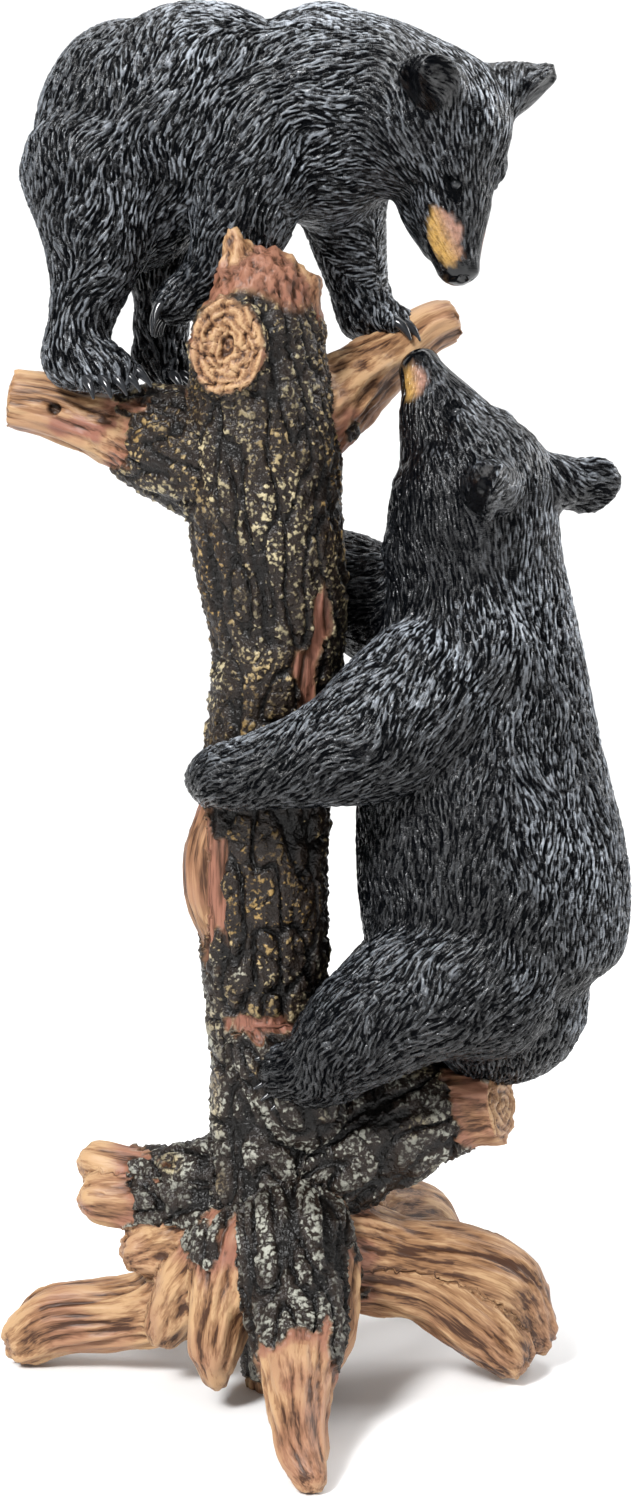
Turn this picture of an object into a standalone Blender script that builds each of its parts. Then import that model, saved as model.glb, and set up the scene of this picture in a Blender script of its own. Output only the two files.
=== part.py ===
"""Two black bears on a broken, rooted tree: a painted cast resin group for a garden or a lodge.

Three castings: the tree, the bear that stands on its upper branches, and the bear that climbs it.
Metres, +Z up. The origin is at the middle of the flat underside of the root crown, which stands on
z = 0. The viewer of the front stands at -Y.

Every casting starts as a skeleton of tapered limbs and round masses. These are fused, smoothed,
carved by functions of the place on the limb, and cut where one casting sits on another.
"""

import math

import bmesh
import bpy
import numpy as np
from mathutils import Matrix, Vector

# Driving dimensions, in metres
GROUP_HEIGHT = 1.2
CASTING_GAP = 0.0005
UNDERSIDE_RADIUS = 0.036
UNDERSIDE_CORE_HEIGHT = 0.12
TOES = 5
TOE_RADIUS = 0.0095
CLAW_LENGTH = 0.018
CLAW_RADIUS = 0.0056
BARK_DEPTH = 0.006
BARK_PLATE_LENGTH = 0.055
BARK_PLATE_WIDTH = 0.026
WOOD_GROOVE_DEPTH = 0.0035
WOOD_GROOVES_ROUND_A_ROOT = 7
FUR_DEPTH = 0.0050
FUR_TIER_LENGTH = 0.042
FUR_LOCK_WIDTH = 0.034
EAR_HOLLOW_DEPTH = 0.007
# The share of an ear's height and width that its hollow takes
EAR_HOLLOW_SHARE = 0.78

# How finely the castings are made
TREE_VOXEL = 0.0045
BEAR_VOXEL = 0.0038
TREE_TRIANGLES = 3850
BEAR_TRIANGLES = 2600
TREE_SMOOTH_STEPS = 6
BEAR_SMOOTH_STEPS = 3
TUBE_STEP = 0.012
SMALLEST_CARVED_RADIUS = 0.009

# The skeletons' points are thousandths of a metre of a group 1.2 m tall: x, y, z and radius.
SKELETON_HEIGHT = 1200

TREE_LIMBS = {
    "trunk": [
        (-14, 0, 120, 74), (-13, 0, 210, 53), (-15, 0, 303, 49), (-18, 0, 392, 53), (-19, 0, 462, 54),
        (-17, 0, 532, 54), (-13, 0, 593, 52), (-6, 0, 653, 55), (-9, 0, 705, 61), (-16, 0, 764, 64),
        (-19, 2, 824, 65), (-21, 0, 882, 58), (-22, -4, 933, 50), (-22, -8, 955, 40),
    ],
    "spike": [(-28, -14, 949, 28), (-37, -16, 981, 19), (-42, -16, 1004, 9)],
    "middle_spike": [(-5, -8, 949, 25), (0, -8, 974, 16)],
    "right_spike": [(12, -4, 924, 24), (17, -4, 951, 17), (21, -4, 962, 13)],
    "knot": [(-43, -30, 908, 36), (-47, -60, 911, 31)],
    "left_branch": [
        (-25, 8, 798, 56), (-68, 16, 819, 54), (-107, 28, 831, 47), (-141, 40, 841, 36), (-172, 46, 849, 29),
        (-202, 50, 859, 28), (-236, 54, 864, 27),
    ],
    "right_branch": [(13, 20, 846, 48), (52, 50, 872, 36), (89, 76, 898, 27), (121, 94, 922, 23), (146, 106, 932, 21)],
    "low_branch": [(-18, 0, 181, 51), (35, 0, 200, 49), (96, 0, 236, 50), (146, -4, 253, 40), (189, -22, 261, 34)],
    "flake": [(-61, -8, 512, 17), (-69, -12, 482, 20), (-67, -12, 443, 21), (-58, -8, 407, 16)],
    "left_foot_rest": [(-13, -20, 310, 40), (13, -24, 262, 40)],
    "front_root": [
        (6, -50, 147, 52), (12, -100, 88, 42), (12, -160, 53, 30), (13, -205, 34, 24), (16, -232, 22, 21),
        (23, -248, 12, 16),
    ],
    "front_root_flank": [(30, -60, 125, 36), (36, -90, 80, 26), (28, -125, 54, 16)],
    "left_root": [(-44, -5, 119, 46), (-103, 25, 66, 37), (-149, 40, 51, 33), (-203, 48, 44, 33), (-230, 52, 26, 28)],
    "short_root": [(-53, -20, 129, 39), (-85, -20, 93, 31), (-105, -15, 56, 20)],
    "second_short_root": [(-39, -35, 134, 45), (-54, -60, 88, 30), (-60, -70, 54, 24), (-59, -72, 34, 15)],
    "right_root": [(30, 0, 127, 53), (92, 10, 110, 43), (146, 25, 95, 46), (187, 33, 76, 44), (216, 40, 40, 30)],
    "lower_right_root": [(48, -10, 109, 37), (118, 0, 90, 32), (164, 0, 57, 32), (194, 0, 30, 26)],
    "back_right_root": [(39, 40, 151, 43), (98, 90, 141, 25), (134, 140, 114, 20), (155, 190, 50, 20), (162, 212, 20, 18)],
    "back_left_root": [(-45, 40, 147, 45), (-83, 100, 119, 28), (-104, 160, 60, 24), (-118, 208, 18, 18)],
    "back_root": [(-14, 40, 156, 49), (-2, 120, 122, 32), (10, 190, 62, 26), (14, 236, 22, 20)],
    "high_stub": [(-62, 8, 184, 39), (-120, 30, 184, 23), (-168, 46, 189, 20)],
    "middle_stub": [(-62, 0, 163, 40), (-120, 15, 162, 27), (-163, 25, 162, 23)],
    "low_stub": [(-62, 0, 136, 40), (-100, 3, 128, 31), (-124, 5, 121, 24)],
}
# Limbs whose ends are sawn or snapped off flat. The others end round.
CUT_LIMBS = {"knot", "left_branch", "right_branch", "low_branch"}
# How far the bark runs out along a limb. The rest of the tree is bare wood.
BARKED_LENGTHS = {
    "trunk": 1200, "left_branch": 105, "low_branch": 200, "left_foot_rest": 200, "front_root": 105,
    "high_stub": 70, "middle_stub": 60,
}

# A bear is its limbs, its masses (centre and half sizes), its head and its paws.
STANDING_LIMBS = [
    [(-157, 35, 1052, 68), (-158, 25, 1004, 50), (-165, 17, 962, 34), (-173, 14, 928, 27), (-176, 12, 907, 29)],
    [(-178, 12, 901, 28), (-161, 2, 896, 25), (-145, -6, 890, 20)],
    [(-127, 92, 1060, 61), (-116, 96, 1009, 43), (-107, 98, 958, 26), (-109, 98, 919, 24)],
    [(-111, 96, 902, 24), (-99, 90, 892, 21), (-88, 86, 886, 17)],
    [(-19, 35, 1100, 57), (-29, 24, 1049, 52), (-39, 20, 1009, 42), (-53, 22, 981, 31), (-73, 26, 959, 23),
     (-94, 28, 947, 19)],
    [(43, 88, 1094, 59), (49, 92, 1035, 41), (58, 94, 988, 31), (65, 94, 958, 26), (69, 94, 939, 25)],
    [(69, 94, 935, 23), (86, 88, 933, 19), (98, 86, 930, 15)],
    [(30, 62, 1114, 83), (77, 48, 1109, 77), (114, 30, 1101, 68)],
]
STANDING_MASSES = [
    ((-134, 60, 1079), (80, 73, 106)),
    ((-72, 60, 1101), (104, 79, 99)),
    ((34, 60, 1104), (73, 75, 95)),
]
STANDING_HEAD = {
    "centre": (136, 19, 1097),
    "left": (0.69, 0.72, 0.0),
    "forward": (0.155, -0.149, -0.977),
    "ears": (-22, 62, 42),
    "ear_facing": (0.8, 0.5, 0.2),
    "size": 1.0,
}
# Each paw: where its toes start, the way they point, the way they spread, and their spread.
STANDING_PAWS = [
    ((-148, -10, 886), (0.60, -0.75, -0.30), (0.80, 0.55, 0.15), 23),
    ((-90, 82, 886), (0.75, -0.60, -0.30), (0.60, 0.75, 0.10), 16),
    ((-97, 28, 944), (-0.70, -0.15, -0.70), (0.10, 0.95, -0.25), 13),
    ((98, 84, 930), (0.90, -0.35, -0.30), (0.35, 0.93, 0.05), 17),
]
CLIMBING_LIMBS = [
    [(122, -50, 620, 68), (73, -72, 590, 58), (26, -84, 573, 42), (-24, -84, 561, 32), (-50, -74, 556, 28),
     (-62, -52, 550, 22)],
    [(143, 50, 665, 64), (96, 72, 674, 50), (50, 84, 702, 47), (13, 92, 709, 37), (-19, 86, 702, 28)],
    [(158, -50, 385, 82), (108, -70, 367, 60), (59, -72, 334, 49), (28, -66, 304, 35)],
    [(43, -64, 303, 31), (16, -62, 301, 30), (3, -58, 298, 25)],
    [(163, 50, 370, 82), (106, 72, 340, 58), (59, 74, 302, 44), (29, 70, 274, 32)],
    [(44, 68, 274, 30), (15, 66, 272, 29), (2, 62, 271, 24)],
    [(163, 0, 722, 75), (170, 0, 628, 89), (171, 0, 532, 109), (181, 0, 445, 117), (183, 0, 382, 107),
     (187, 0, 352, 78)],
    [(163, 0, 722, 75), (159, -8, 774, 72)],
    [(140, -5, 740, 58), (137, 0, 800, 42), (123, 10, 852, 27)],
]
CLIMBING_MASSES = [
    ((162, 0, 650), (74, 100, 84)),
]
CLIMBING_HEAD = {
    "centre": (171, -18, 796),
    "left": (-0.677, -0.735, 0.0),
    "forward": (-0.40, 0.35, 0.845),
    "ears": (-32, 65, 47),
    "ear_facing": (0.65, 0.53, -0.45),
    "size": 1.0,
}
CLIMBING_PAWS = [
    ((-64, -44, 550), (-0.10, 0.97, -0.20), (0.10, 0.10, 0.98), 17),
    ((-22, 80, 701), (-0.75, -0.60, -0.10), (0.10, -0.10, 0.98), 16),
    ((0, -60, 297), (-0.80, 0.30, -0.45), (-0.40, 0.10, 0.90), 17),
    ((0, 62, 270), (-0.80, -0.30, -0.40), (-0.40, -0.10, 0.90), 16),
]

# A head in its own axes (forward, left, up), for a head of size 1
HEAD_MASSES = [
    ((0, 0, 0), (60, 56, 56)),
    ((16, 27, -18), (38, 30, 32)),
    ((16, -27, -18), (38, 30, 32)),
    ((38, 21, 20), (22, 19, 16)),
    ((38, -21, 20), (22, 19, 16)),
    ((125, 0, -5), (10, 16, 12)),
]
HEAD_LIMBS = [
    [(28, 0, -2, 43), (66, 0, -8, 35), (96, 0, -12, 27), (117, 0, -12, 20)],
    [(15, 0, -32, 34), (66, 0, -36, 24), (98, 0, -32, 14)],
    [(-18, 36, 28, 27), (-24, 58, 42, 20), (-28, 76, 52, 10)],
    [(-18, -36, 28, 27), (-24, -58, 42, 20), (-28, -76, 52, 10)],
]
EAR_HALF_SIZE = (9, 27, 30)
EAR_UP = (-0.05, 0.85, 0.5)

MATERIALS = {
    "tree": ((0.20, 0.13, 0.075, 1.0), 0.72),
    "bears": ((0.012, 0.014, 0.017, 1.0), 0.34),
}


def metres(value):
    """A skeleton length, in metres of the group as built."""
    return value * GROUP_HEIGHT / SKELETON_HEIGHT


def clear_scene():
    for old in list(bpy.data.objects):
        bpy.data.objects.remove(old)


def make_collection(name):
    collection = bpy.data.collections.new(name)
    bpy.context.scene.collection.children.link(collection)
    return collection


def make_material(name):
    """A painted resin finish."""
    colour, roughness = MATERIALS[name]
    material = bpy.data.materials.new(name + "_paint")
    material.use_nodes = True
    shader = material.node_tree.nodes["Principled BSDF"]
    shader.inputs["Base Color"].default_value = colour
    shader.inputs["Roughness"].default_value = roughness
    shader.inputs["Metallic"].default_value = 0.0
    return material


def smooth_path(points):
    """The limb's centre line and radius as a smooth curve, with a point about every TUBE_STEP."""
    knots = np.array(points, float) * metres(1)
    lengths = np.linalg.norm(np.diff(knots[:, :3], axis=0), axis=1)
    ends = np.vstack([2 * knots[0] - knots[1], knots, 2 * knots[-1] - knots[-2]])
    path = [knots[0]]
    for i, length in enumerate(lengths):
        before, start, end, after = ends[i : i + 4]
        count = max(2, round(length / TUBE_STEP))
        for step in range(1, count + 1):
            t = step / count
            path.append(
                0.5 * (2 * start + (end - before) * t + (2 * before - 5 * start + 4 * end - after) * t**2
                       + (3 * start - before - 3 * end + after) * t**3)
            )
    return np.array(path)


def curve_tube(path):
    """A closed round tube along the path, made a mesh, as a curve with a bevel."""
    data = bpy.data.curves.new("limb", "CURVE")
    data.dimensions = "3D"
    data.bevel_depth = 1.0
    data.bevel_resolution = 4
    data.use_fill_caps = True
    spline = data.splines.new("POLY")
    spline.points.add(len(path) - 1)
    for point, (x, y, z, radius) in zip(spline.points, path):
        point.co = (x, y, z, 1)
        point.radius = radius
    limb = bpy.data.objects.new("limb", data)
    bpy.context.scene.collection.objects.link(limb)
    bpy.context.view_layer.update()
    mesh = bpy.data.meshes.new_from_object(limb.evaluated_get(bpy.context.evaluated_depsgraph_get()))
    bpy.data.objects.remove(limb)
    return mesh


def add_mesh(whole, mesh):
    """Adds a limb's mesh to the whole, with its caps welded on."""
    part = bmesh.new()
    part.from_mesh(mesh)
    bmesh.ops.remove_doubles(part, verts=part.verts, dist=0.00001)
    part.to_mesh(mesh)
    part.free()
    whole.from_mesh(mesh)
    bpy.data.meshes.remove(mesh)


def add_ball(whole, centre, half_sizes, axes=None):
    """Adds a round mass: a sphere with its own half sizes along its own axes."""
    place = (axes or Matrix.Identity(3)).to_4x4()
    place.translation = Vector(centre)
    size = Matrix.Diagonal((*half_sizes, 1))
    bmesh.ops.create_uvsphere(whole, u_segments=24, v_segments=16, radius=1, matrix=place @ size)


def add_limb(whole, points, cut=False):
    """Adds a tapered limb, round at its ends or cut flat at the far one, and gives its path back."""
    path = smooth_path(points)
    add_mesh(whole, curve_tube(path))
    for end in path[:1] if cut else path[[0, -1]]:
        add_ball(whole, end[:3], [end[3] * 0.995] * 3)
    return path


def mirrored(direction, side):
    """A direction of the left side, or its mirror on the right. side is 1 for the left, -1 for the right."""
    forward, left, up = direction
    return forward, side * left, up


class Head:
    """A bear's head in its own axes."""

    def __init__(self, pose):
        forward = Vector(pose["forward"]).normalized()
        left = Vector(pose["left"])
        left = (left - left.dot(forward) * forward).normalized()
        up = forward.cross(left)
        self.axes = Matrix((forward, left, up)).transposed()
        self.centre = Vector(pose["centre"]) * metres(1)
        self.size = pose["size"] * metres(1)
        self.ears = pose["ears"]
        self.ear_facing = pose["ear_facing"]

    def place(self, point):
        return self.centre + self.axes @ (Vector(point) * self.size)

    def ear(self, side):
        """The ear's middle, its axes (facing, across, up) and its half sizes. side is 1 for the left."""
        back, across, up = self.ears
        facing = (self.axes @ Vector(mirrored(self.ear_facing, side))).normalized()
        upward = self.axes @ Vector(mirrored(EAR_UP, side))
        upward = (upward - upward.dot(facing) * facing).normalized()
        axes = Matrix((facing, upward.cross(facing), upward)).transposed()
        return self.place((back, side * across, up)), axes, [h * self.size for h in EAR_HALF_SIZE]

    def add_to(self, whole):
        paths = []
        for centre, half_sizes in HEAD_MASSES:
            add_ball(whole, self.place(centre), [h * self.size for h in half_sizes], self.axes)
        for points in HEAD_LIMBS:
            placed = [(*(self.place(p[:3]) / metres(1)), p[3] * self.size / metres(1)) for p in points]
            paths.append(add_limb(whole, placed))
        for side in (1, -1):
            middle, axes, half_sizes = self.ear(side)
            add_ball(whole, middle, half_sizes, axes)
        return paths


def add_paw(whole, paw):
    """Adds the toes, each with a curved claw, fanned across the end of a foot."""
    start, pointing, spreading, spread = paw
    start = Vector(start) * metres(1)
    pointing = Vector(pointing).normalized()
    spreading = Vector(spreading).normalized()
    down = pointing.cross(spreading).normalized()
    if down.z > 0:
        down = -down
    for across in np.linspace(-1, 1, TOES):
        toe = start + spreading * across * metres(spread) + pointing * TOE_RADIUS * 0.6 * (1 - across**2)
        add_ball(whole, toe, [TOE_RADIUS] * 3)
        out = (pointing + spreading * across * 0.25).normalized()
        path = []
        for t in np.linspace(0, 1, 5):
            point = toe + out * (TOE_RADIUS * 0.5 + CLAW_LENGTH * t) + down * CLAW_LENGTH * (0.45 * t**2 - 0.15)
            path.append((*point, CLAW_RADIUS * (1.15 - 0.6 * t)))
        add_mesh(whole, curve_tube(np.array(path)))


def new_object(name, whole, collection, material):
    mesh = bpy.data.meshes.new(name)
    whole.to_mesh(mesh)
    whole.free()
    made = bpy.data.objects.new(name, mesh)
    made.data.materials.append(material)
    collection.objects.link(made)
    return made


def apply_modifiers(made):
    """Puts what the modifiers make into the object's own mesh."""
    bpy.context.view_layer.update()
    graph = bpy.context.evaluated_depsgraph_get()
    mesh = bpy.data.meshes.new_from_object(made.evaluated_get(graph))
    old = made.data
    made.modifiers.clear()
    made.data = mesh
    bpy.data.meshes.remove(old)
    mesh.name = made.name


def fuse(made, voxel, smooth_steps):
    """One skin round all the limbs, with soft joints between them."""
    remesh = made.modifiers.new("fuse", "REMESH")
    remesh.mode = "VOXEL"
    remesh.voxel_size = voxel
    smooth = made.modifiers.new("soften", "SMOOTH")
    smooth.factor = 0.5
    smooth.iterations = smooth_steps
    apply_modifiers(made)


def vertex_arrays(mesh):
    count = len(mesh.vertices)
    places = np.empty(count * 3)
    normals = np.empty(count * 3)
    mesh.vertices.foreach_get("co", places)
    mesh.vertices.foreach_get("normal", normals)
    return places.reshape(-1, 3), normals.reshape(-1, 3)


def along_limbs(places, paths):
    """For each place, its limb's direction, the distance along it, the way round it and its radius."""
    best = np.full(len(places), np.inf)
    found = np.zeros((len(places), 4))
    for number, path in enumerate(paths):
        starts, ends = path[:-1, :3], path[1:, :3]
        travelled = np.concatenate([[0], np.cumsum(np.linalg.norm(ends - starts, axis=1))])
        for i, (start, end) in enumerate(zip(starts, ends)):
            axis = end - start
            length = np.linalg.norm(axis)
            axis = axis / length
            share = np.clip((places - start) @ axis / length, 0, 1)
            radius = path[i, 3] + (path[i + 1, 3] - path[i, 3]) * share
            offset = places - start - share[:, None] * length * axis
            distance = np.linalg.norm(offset, axis=1) - radius
            across = np.cross(axis, (0.31, 0.95, 0.05))
            across /= np.linalg.norm(across)
            angle = np.arctan2(offset @ np.cross(axis, across), offset @ across)
            nearer = distance < best
            best[nearer] = distance[nearer]
            rows = np.stack([np.full(len(places), number), travelled[i] + share * length, angle, radius], 1)
            found[nearer] = rows[nearer]
    return found


def wavering(places, size):
    """A smooth wandering value between about -1 and 1, the sum of a few crossed waves."""
    x, y, z = (places / size).T
    return (np.sin(1.3 * x + 2.1 * np.sin(0.7 * y) + z) + np.sin(1.7 * y + 1.9 * np.sin(0.9 * z) - x)
            + np.sin(1.1 * z + 2.3 * np.sin(0.8 * x) + y)) / 3


def fur(places, paths):
    """Tiers of locks: each tier rises towards its tips and drops at them, in scallops round the limb."""
    number, along, angle, radius = along_limbs(places, paths).T
    locks = np.maximum(3, np.round(2 * math.pi * radius / FUR_LOCK_WIDTH))
    scallop = 0.5 * np.abs(np.cos(0.5 * locks * angle + number))
    tier = along / FUR_TIER_LENGTH + scallop + 0.5 * wavering(places, 0.03)
    rise = tier % 1.0
    return FUR_DEPTH * (np.where(rise < 0.85, rise / 0.85, (1 - rise) / 0.15) - 0.5)


def bark(places, along, angle, radius):
    """Blocky plates: ridges that wander up the trunk, broken across by short cracks."""
    plates = np.maximum(5, np.round(2 * math.pi * radius / BARK_PLATE_WIDTH))
    furrow = np.abs(np.sin(0.5 * plates * angle + 1.6 * wavering(places, 0.035)))
    column = np.floor(plates * angle / (2 * math.pi))
    crack = np.abs(np.sin(math.pi * (along / BARK_PLATE_LENGTH + 0.37 * column + 0.3 * wavering(places, 0.02))))
    return BARK_DEPTH * (np.minimum(1, 1.6 * furrow) * np.minimum(1, 3 * crack) - 0.6)


def wood_grain(places, along, angle):
    """Bare wood: long grooves that wind slowly round the root or branch."""
    turns = WOOD_GROOVES_ROUND_A_ROOT * angle + 9 * along + 1.2 * wavering(places, 0.04)
    return WOOD_GROOVE_DEPTH * (np.abs(np.sin(0.5 * turns)) ** 0.7 - 0.7)


def carve_tree(made, paths):
    """Bark on the trunk and the inner branches, grooved bare wood elsewhere."""
    mesh = made.data
    places, normals = vertex_arrays(mesh)
    number, along, angle, radius = along_limbs(places, paths).T
    barked = np.array([metres(BARKED_LENGTHS.get(name, 0)) for name in TREE_LIMBS])
    barky = along < barked[number.astype(int)]
    depth = np.where(barky, bark(places, along, angle, radius), wood_grain(places, along, angle))
    depth *= np.clip(radius / metres(30), 0.25, 1)
    places += normals * depth[:, None]
    mesh.vertices.foreach_set("co", places.ravel())
    mesh.update()


def carve_bear(made, paths, head):
    """Fur all over, and a hollow in the front of each ear."""
    mesh = made.data
    places, normals = vertex_arrays(mesh)
    radius = along_limbs(places, paths)[:, 3]
    depth = fur(places, paths) * np.clip(radius / metres(45), 0, 1)
    depth[radius < SMALLEST_CARVED_RADIUS] = 0
    away = np.linalg.norm(places - np.array(head.centre), axis=1)
    depth *= np.clip((away / metres(1) - 40) / 60, 0.25, 1)
    places += normals * depth[:, None]
    for side in (1, -1):
        middle, axes, half_sizes = head.ear(side)
        local = (places - np.array(middle)) @ np.array(axes)
        spread = np.hypot(local[:, 1] / half_sizes[1], local[:, 2] / half_sizes[2])
        front = (local[:, 0] > 0) & (local[:, 0] < 2 * half_sizes[0]) & (spread < EAR_HOLLOW_SHARE)
        hollow = EAR_HOLLOW_DEPTH * np.clip(1 - (spread / EAR_HOLLOW_SHARE) ** 2, 0, 1)
        places[front] -= (hollow[:, None] * np.array(axes)[:, 0])[front]
    mesh.vertices.foreach_set("co", places.ravel())
    mesh.update()


def lighten(made, triangles):
    """Fewer faces, kept where the carving turns."""
    mesh = made.data
    mesh.calc_loop_triangles()
    fewer = made.modifiers.new("fewer", "DECIMATE")
    fewer.ratio = triangles / len(mesh.loop_triangles)
    fewer.use_collapse_triangulate = True
    apply_modifiers(made)


def add_cutter(name, whole, cutters):
    mesh = bpy.data.meshes.new(name)
    whole.to_mesh(mesh)
    whole.free()
    cutter = bpy.data.objects.new(name, mesh)
    cutter.hide_render = True
    cutter.display_type = "WIRE"
    cutters.objects.link(cutter)
    return cutter


def combine(made, other, operation):
    """One Boolean with another object's solid."""
    boolean = made.modifiers.new(operation.lower(), "BOOLEAN")
    boolean.operation = operation
    boolean.solver = "EXACT"
    boolean.object = other
    apply_modifiers(made)


def ground_block(cutters):
    """A block whose top is the ground."""
    block = bmesh.new()
    side, depth = 2 * GROUP_HEIGHT, GROUP_HEIGHT / 4
    bmesh.ops.create_cube(block, size=1, matrix=Matrix.Translation((0, 0, -depth / 2)) @ Matrix.Diagonal((side, side, depth, 1)))
    return add_cutter("ground", block, cutters)


def underside_core(cutters):
    """The solid middle of the root crown, flat below, on which the group also stands."""
    core = bmesh.new()
    bmesh.ops.create_cone(
        core, cap_ends=True, segments=20, radius1=UNDERSIDE_RADIUS, radius2=UNDERSIDE_RADIUS * 1.1,
        depth=UNDERSIDE_CORE_HEIGHT, matrix=Matrix.Translation((0, 0, UNDERSIDE_CORE_HEIGHT / 2)),
    )
    return add_cutter("underside_core", core, cutters)


def grown_copy(made, by, cutters):
    """The object's solid pushed out by a little, as the space that its neighbour leaves for it."""
    grown = bmesh.new()
    grown.from_mesh(made.data)
    bmesh.ops.recalc_face_normals(grown, faces=grown.faces)
    normals = [vertex.normal.copy() for vertex in grown.verts]
    for vertex, normal in zip(grown.verts, normals):
        vertex.co += normal * by
    return add_cutter(made.name + "_space", grown, cutters)


def keep_largest_body(made):
    """Drops the crumbs that a cut leaves beside the casting."""
    whole = bmesh.new()
    whole.from_mesh(made.data)
    left = set(whole.verts)
    bodies = []
    while left:
        body = {left.pop()}
        edge = list(body)
        while edge:
            vertex = edge.pop()
            for link in vertex.link_edges:
                other = link.other_vert(vertex)
                if other in left:
                    left.discard(other)
                    body.add(other)
                    edge.append(other)
        bodies.append(body)
    largest = max(bodies, key=len)
    crumbs = [vertex for body in bodies if body is not largest for vertex in body]
    bmesh.ops.delete(whole, geom=crumbs, context="VERTS")
    whole.to_mesh(made.data)
    whole.free()


def make_tree(castings, cutters):
    whole = bmesh.new()
    paths = [add_limb(whole, points, name in CUT_LIMBS) for name, points in TREE_LIMBS.items()]
    tree = new_object("tree", whole, castings, make_material("tree"))
    fuse(tree, TREE_VOXEL, TREE_SMOOTH_STEPS)
    carve_tree(tree, paths)
    lighten(tree, TREE_TRIANGLES)
    combine(tree, underside_core(cutters), "UNION")
    combine(tree, ground_block(cutters), "DIFFERENCE")
    keep_largest_body(tree)
    return tree


def make_bear(name, limbs, masses, pose, paws, material, castings):
    whole = bmesh.new()
    paths = [add_limb(whole, points) for points in limbs]
    for centre, half_sizes in masses:
        add_ball(whole, Vector(centre) * metres(1), [metres(h) for h in half_sizes])
    head = Head(pose)
    paths += head.add_to(whole)
    for paw in paws:
        add_paw(whole, paw)
    bear = new_object(name, whole, castings, material)
    fuse(bear, BEAR_VOXEL, BEAR_SMOOTH_STEPS)
    carve_bear(bear, paths, head)
    lighten(bear, BEAR_TRIANGLES)
    return bear


def main():
    clear_scene()
    castings = make_collection("bear_statue")
    cutters = make_collection("cutters")
    tree = make_tree(castings, cutters)
    space = grown_copy(tree, CASTING_GAP, cutters)
    paint = make_material("bears")
    for name, limbs, masses, pose, paws in (
        ("standing_bear", STANDING_LIMBS, STANDING_MASSES, STANDING_HEAD, STANDING_PAWS),
        ("climbing_bear", CLIMBING_LIMBS, CLIMBING_MASSES, CLIMBING_HEAD, CLIMBING_PAWS),
    ):
        bear = make_bear(name, limbs, masses, pose, paws, paint, castings)
        combine(bear, space, "DIFFERENCE")
        keep_largest_body(bear)


main()
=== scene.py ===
"""Looks of a painted cast resin group: two black bears on a broken, rooted tree.

One bear stands on the tree's upper branches and looks down. The other climbs the trunk and looks up.
Each casting is a skeleton of limbs and round masses, swept and turned as surfaces, fused into one skin,
carved with fur, bark or grain, and painted: gloss black with silver dry brushing, dark bark, and bare
wood in cream, tan and pink, with painted highlight and painted shade in the paint. Metres, +Z up, and
the viewer of the front stands at -Y.
"""

from __future__ import annotations

import logging
import math
from dataclasses import dataclass, field
from enum import Enum

import bpy
import numpy as np
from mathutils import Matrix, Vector

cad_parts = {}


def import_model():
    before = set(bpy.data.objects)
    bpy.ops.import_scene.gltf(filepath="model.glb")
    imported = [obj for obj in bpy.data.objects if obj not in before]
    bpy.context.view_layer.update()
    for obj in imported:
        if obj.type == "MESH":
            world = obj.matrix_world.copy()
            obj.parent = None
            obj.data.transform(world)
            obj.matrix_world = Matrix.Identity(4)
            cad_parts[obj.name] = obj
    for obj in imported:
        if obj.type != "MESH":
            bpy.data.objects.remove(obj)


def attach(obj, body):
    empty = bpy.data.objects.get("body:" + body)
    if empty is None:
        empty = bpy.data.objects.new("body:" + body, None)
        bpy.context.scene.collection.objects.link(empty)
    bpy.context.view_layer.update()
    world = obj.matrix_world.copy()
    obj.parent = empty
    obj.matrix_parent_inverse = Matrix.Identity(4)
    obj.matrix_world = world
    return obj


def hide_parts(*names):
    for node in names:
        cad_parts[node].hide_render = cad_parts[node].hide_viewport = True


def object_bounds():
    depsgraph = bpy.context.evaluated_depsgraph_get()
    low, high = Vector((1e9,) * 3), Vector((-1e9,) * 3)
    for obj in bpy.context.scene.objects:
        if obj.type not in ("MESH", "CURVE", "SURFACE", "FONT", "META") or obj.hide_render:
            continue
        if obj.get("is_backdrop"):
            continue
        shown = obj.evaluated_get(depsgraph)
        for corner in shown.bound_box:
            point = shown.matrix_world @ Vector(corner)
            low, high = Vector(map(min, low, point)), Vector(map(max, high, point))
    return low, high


LOG = logging.getLogger("bear_group")
Array = np.ndarray
Knot = tuple[float, float, float, float]
Place = tuple[float, float, float]
Socket = bpy.types.NodeSocket

# The skeletons' points and radii are thousandths of a metre of a group 1.2 m tall.
SKELETON_HEIGHT = 1200.0


class Slot(Enum):
    """The finishes."""

    WOOD = "painted_wood"
    BEAR = "bear_black"


@dataclass
class Surface:
    """Points and faces of a closed surface."""

    points: Array
    faces: list[list[int]]


@dataclass(frozen=True)
class Limb:
    """A tapered limb: its knots are x, y, z and radius.

    cut says whether its far end is flat, barked how far along it the bark goes, flow whether fur on it runs
    along it (1) or back (-1), and tall how much taller than wide its section is.
    """

    knots: tuple[Knot, ...]
    cut: bool = False
    barked: float = 0.0
    flow: float = 1.0
    tall: float = 1.0


@dataclass(frozen=True)
class Mass:
    """A round mass, or an oval part of the skin: its centre and half sizes."""

    centre: Place
    half: Place

    def covers(self, places: Array, scale: float, ragged: Array | float = 0.0) -> Array:
        """1 inside, 0 outside, with an edge that ragged pushes in and out."""
        reach = np.linalg.norm((places / scale - self.centre) / self.half, axis=1) + ragged
        return smooth_step(-reach, -1.12, -0.9)


def unit(vectors: Array) -> Array:
    """Gives each vector the length 1."""
    return vectors / np.maximum(np.linalg.norm(vectors, axis=-1, keepdims=True), 1e-12)


def smooth_step(values: Array, low: float, high: float) -> Array:
    """Rises from 0 at low to 1 at high along 3t^2 - 2t^3."""
    t = np.clip((values - low) / (high - low), 0.0, 1.0)
    return t * t * (3.0 - 2.0 * t)


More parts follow.
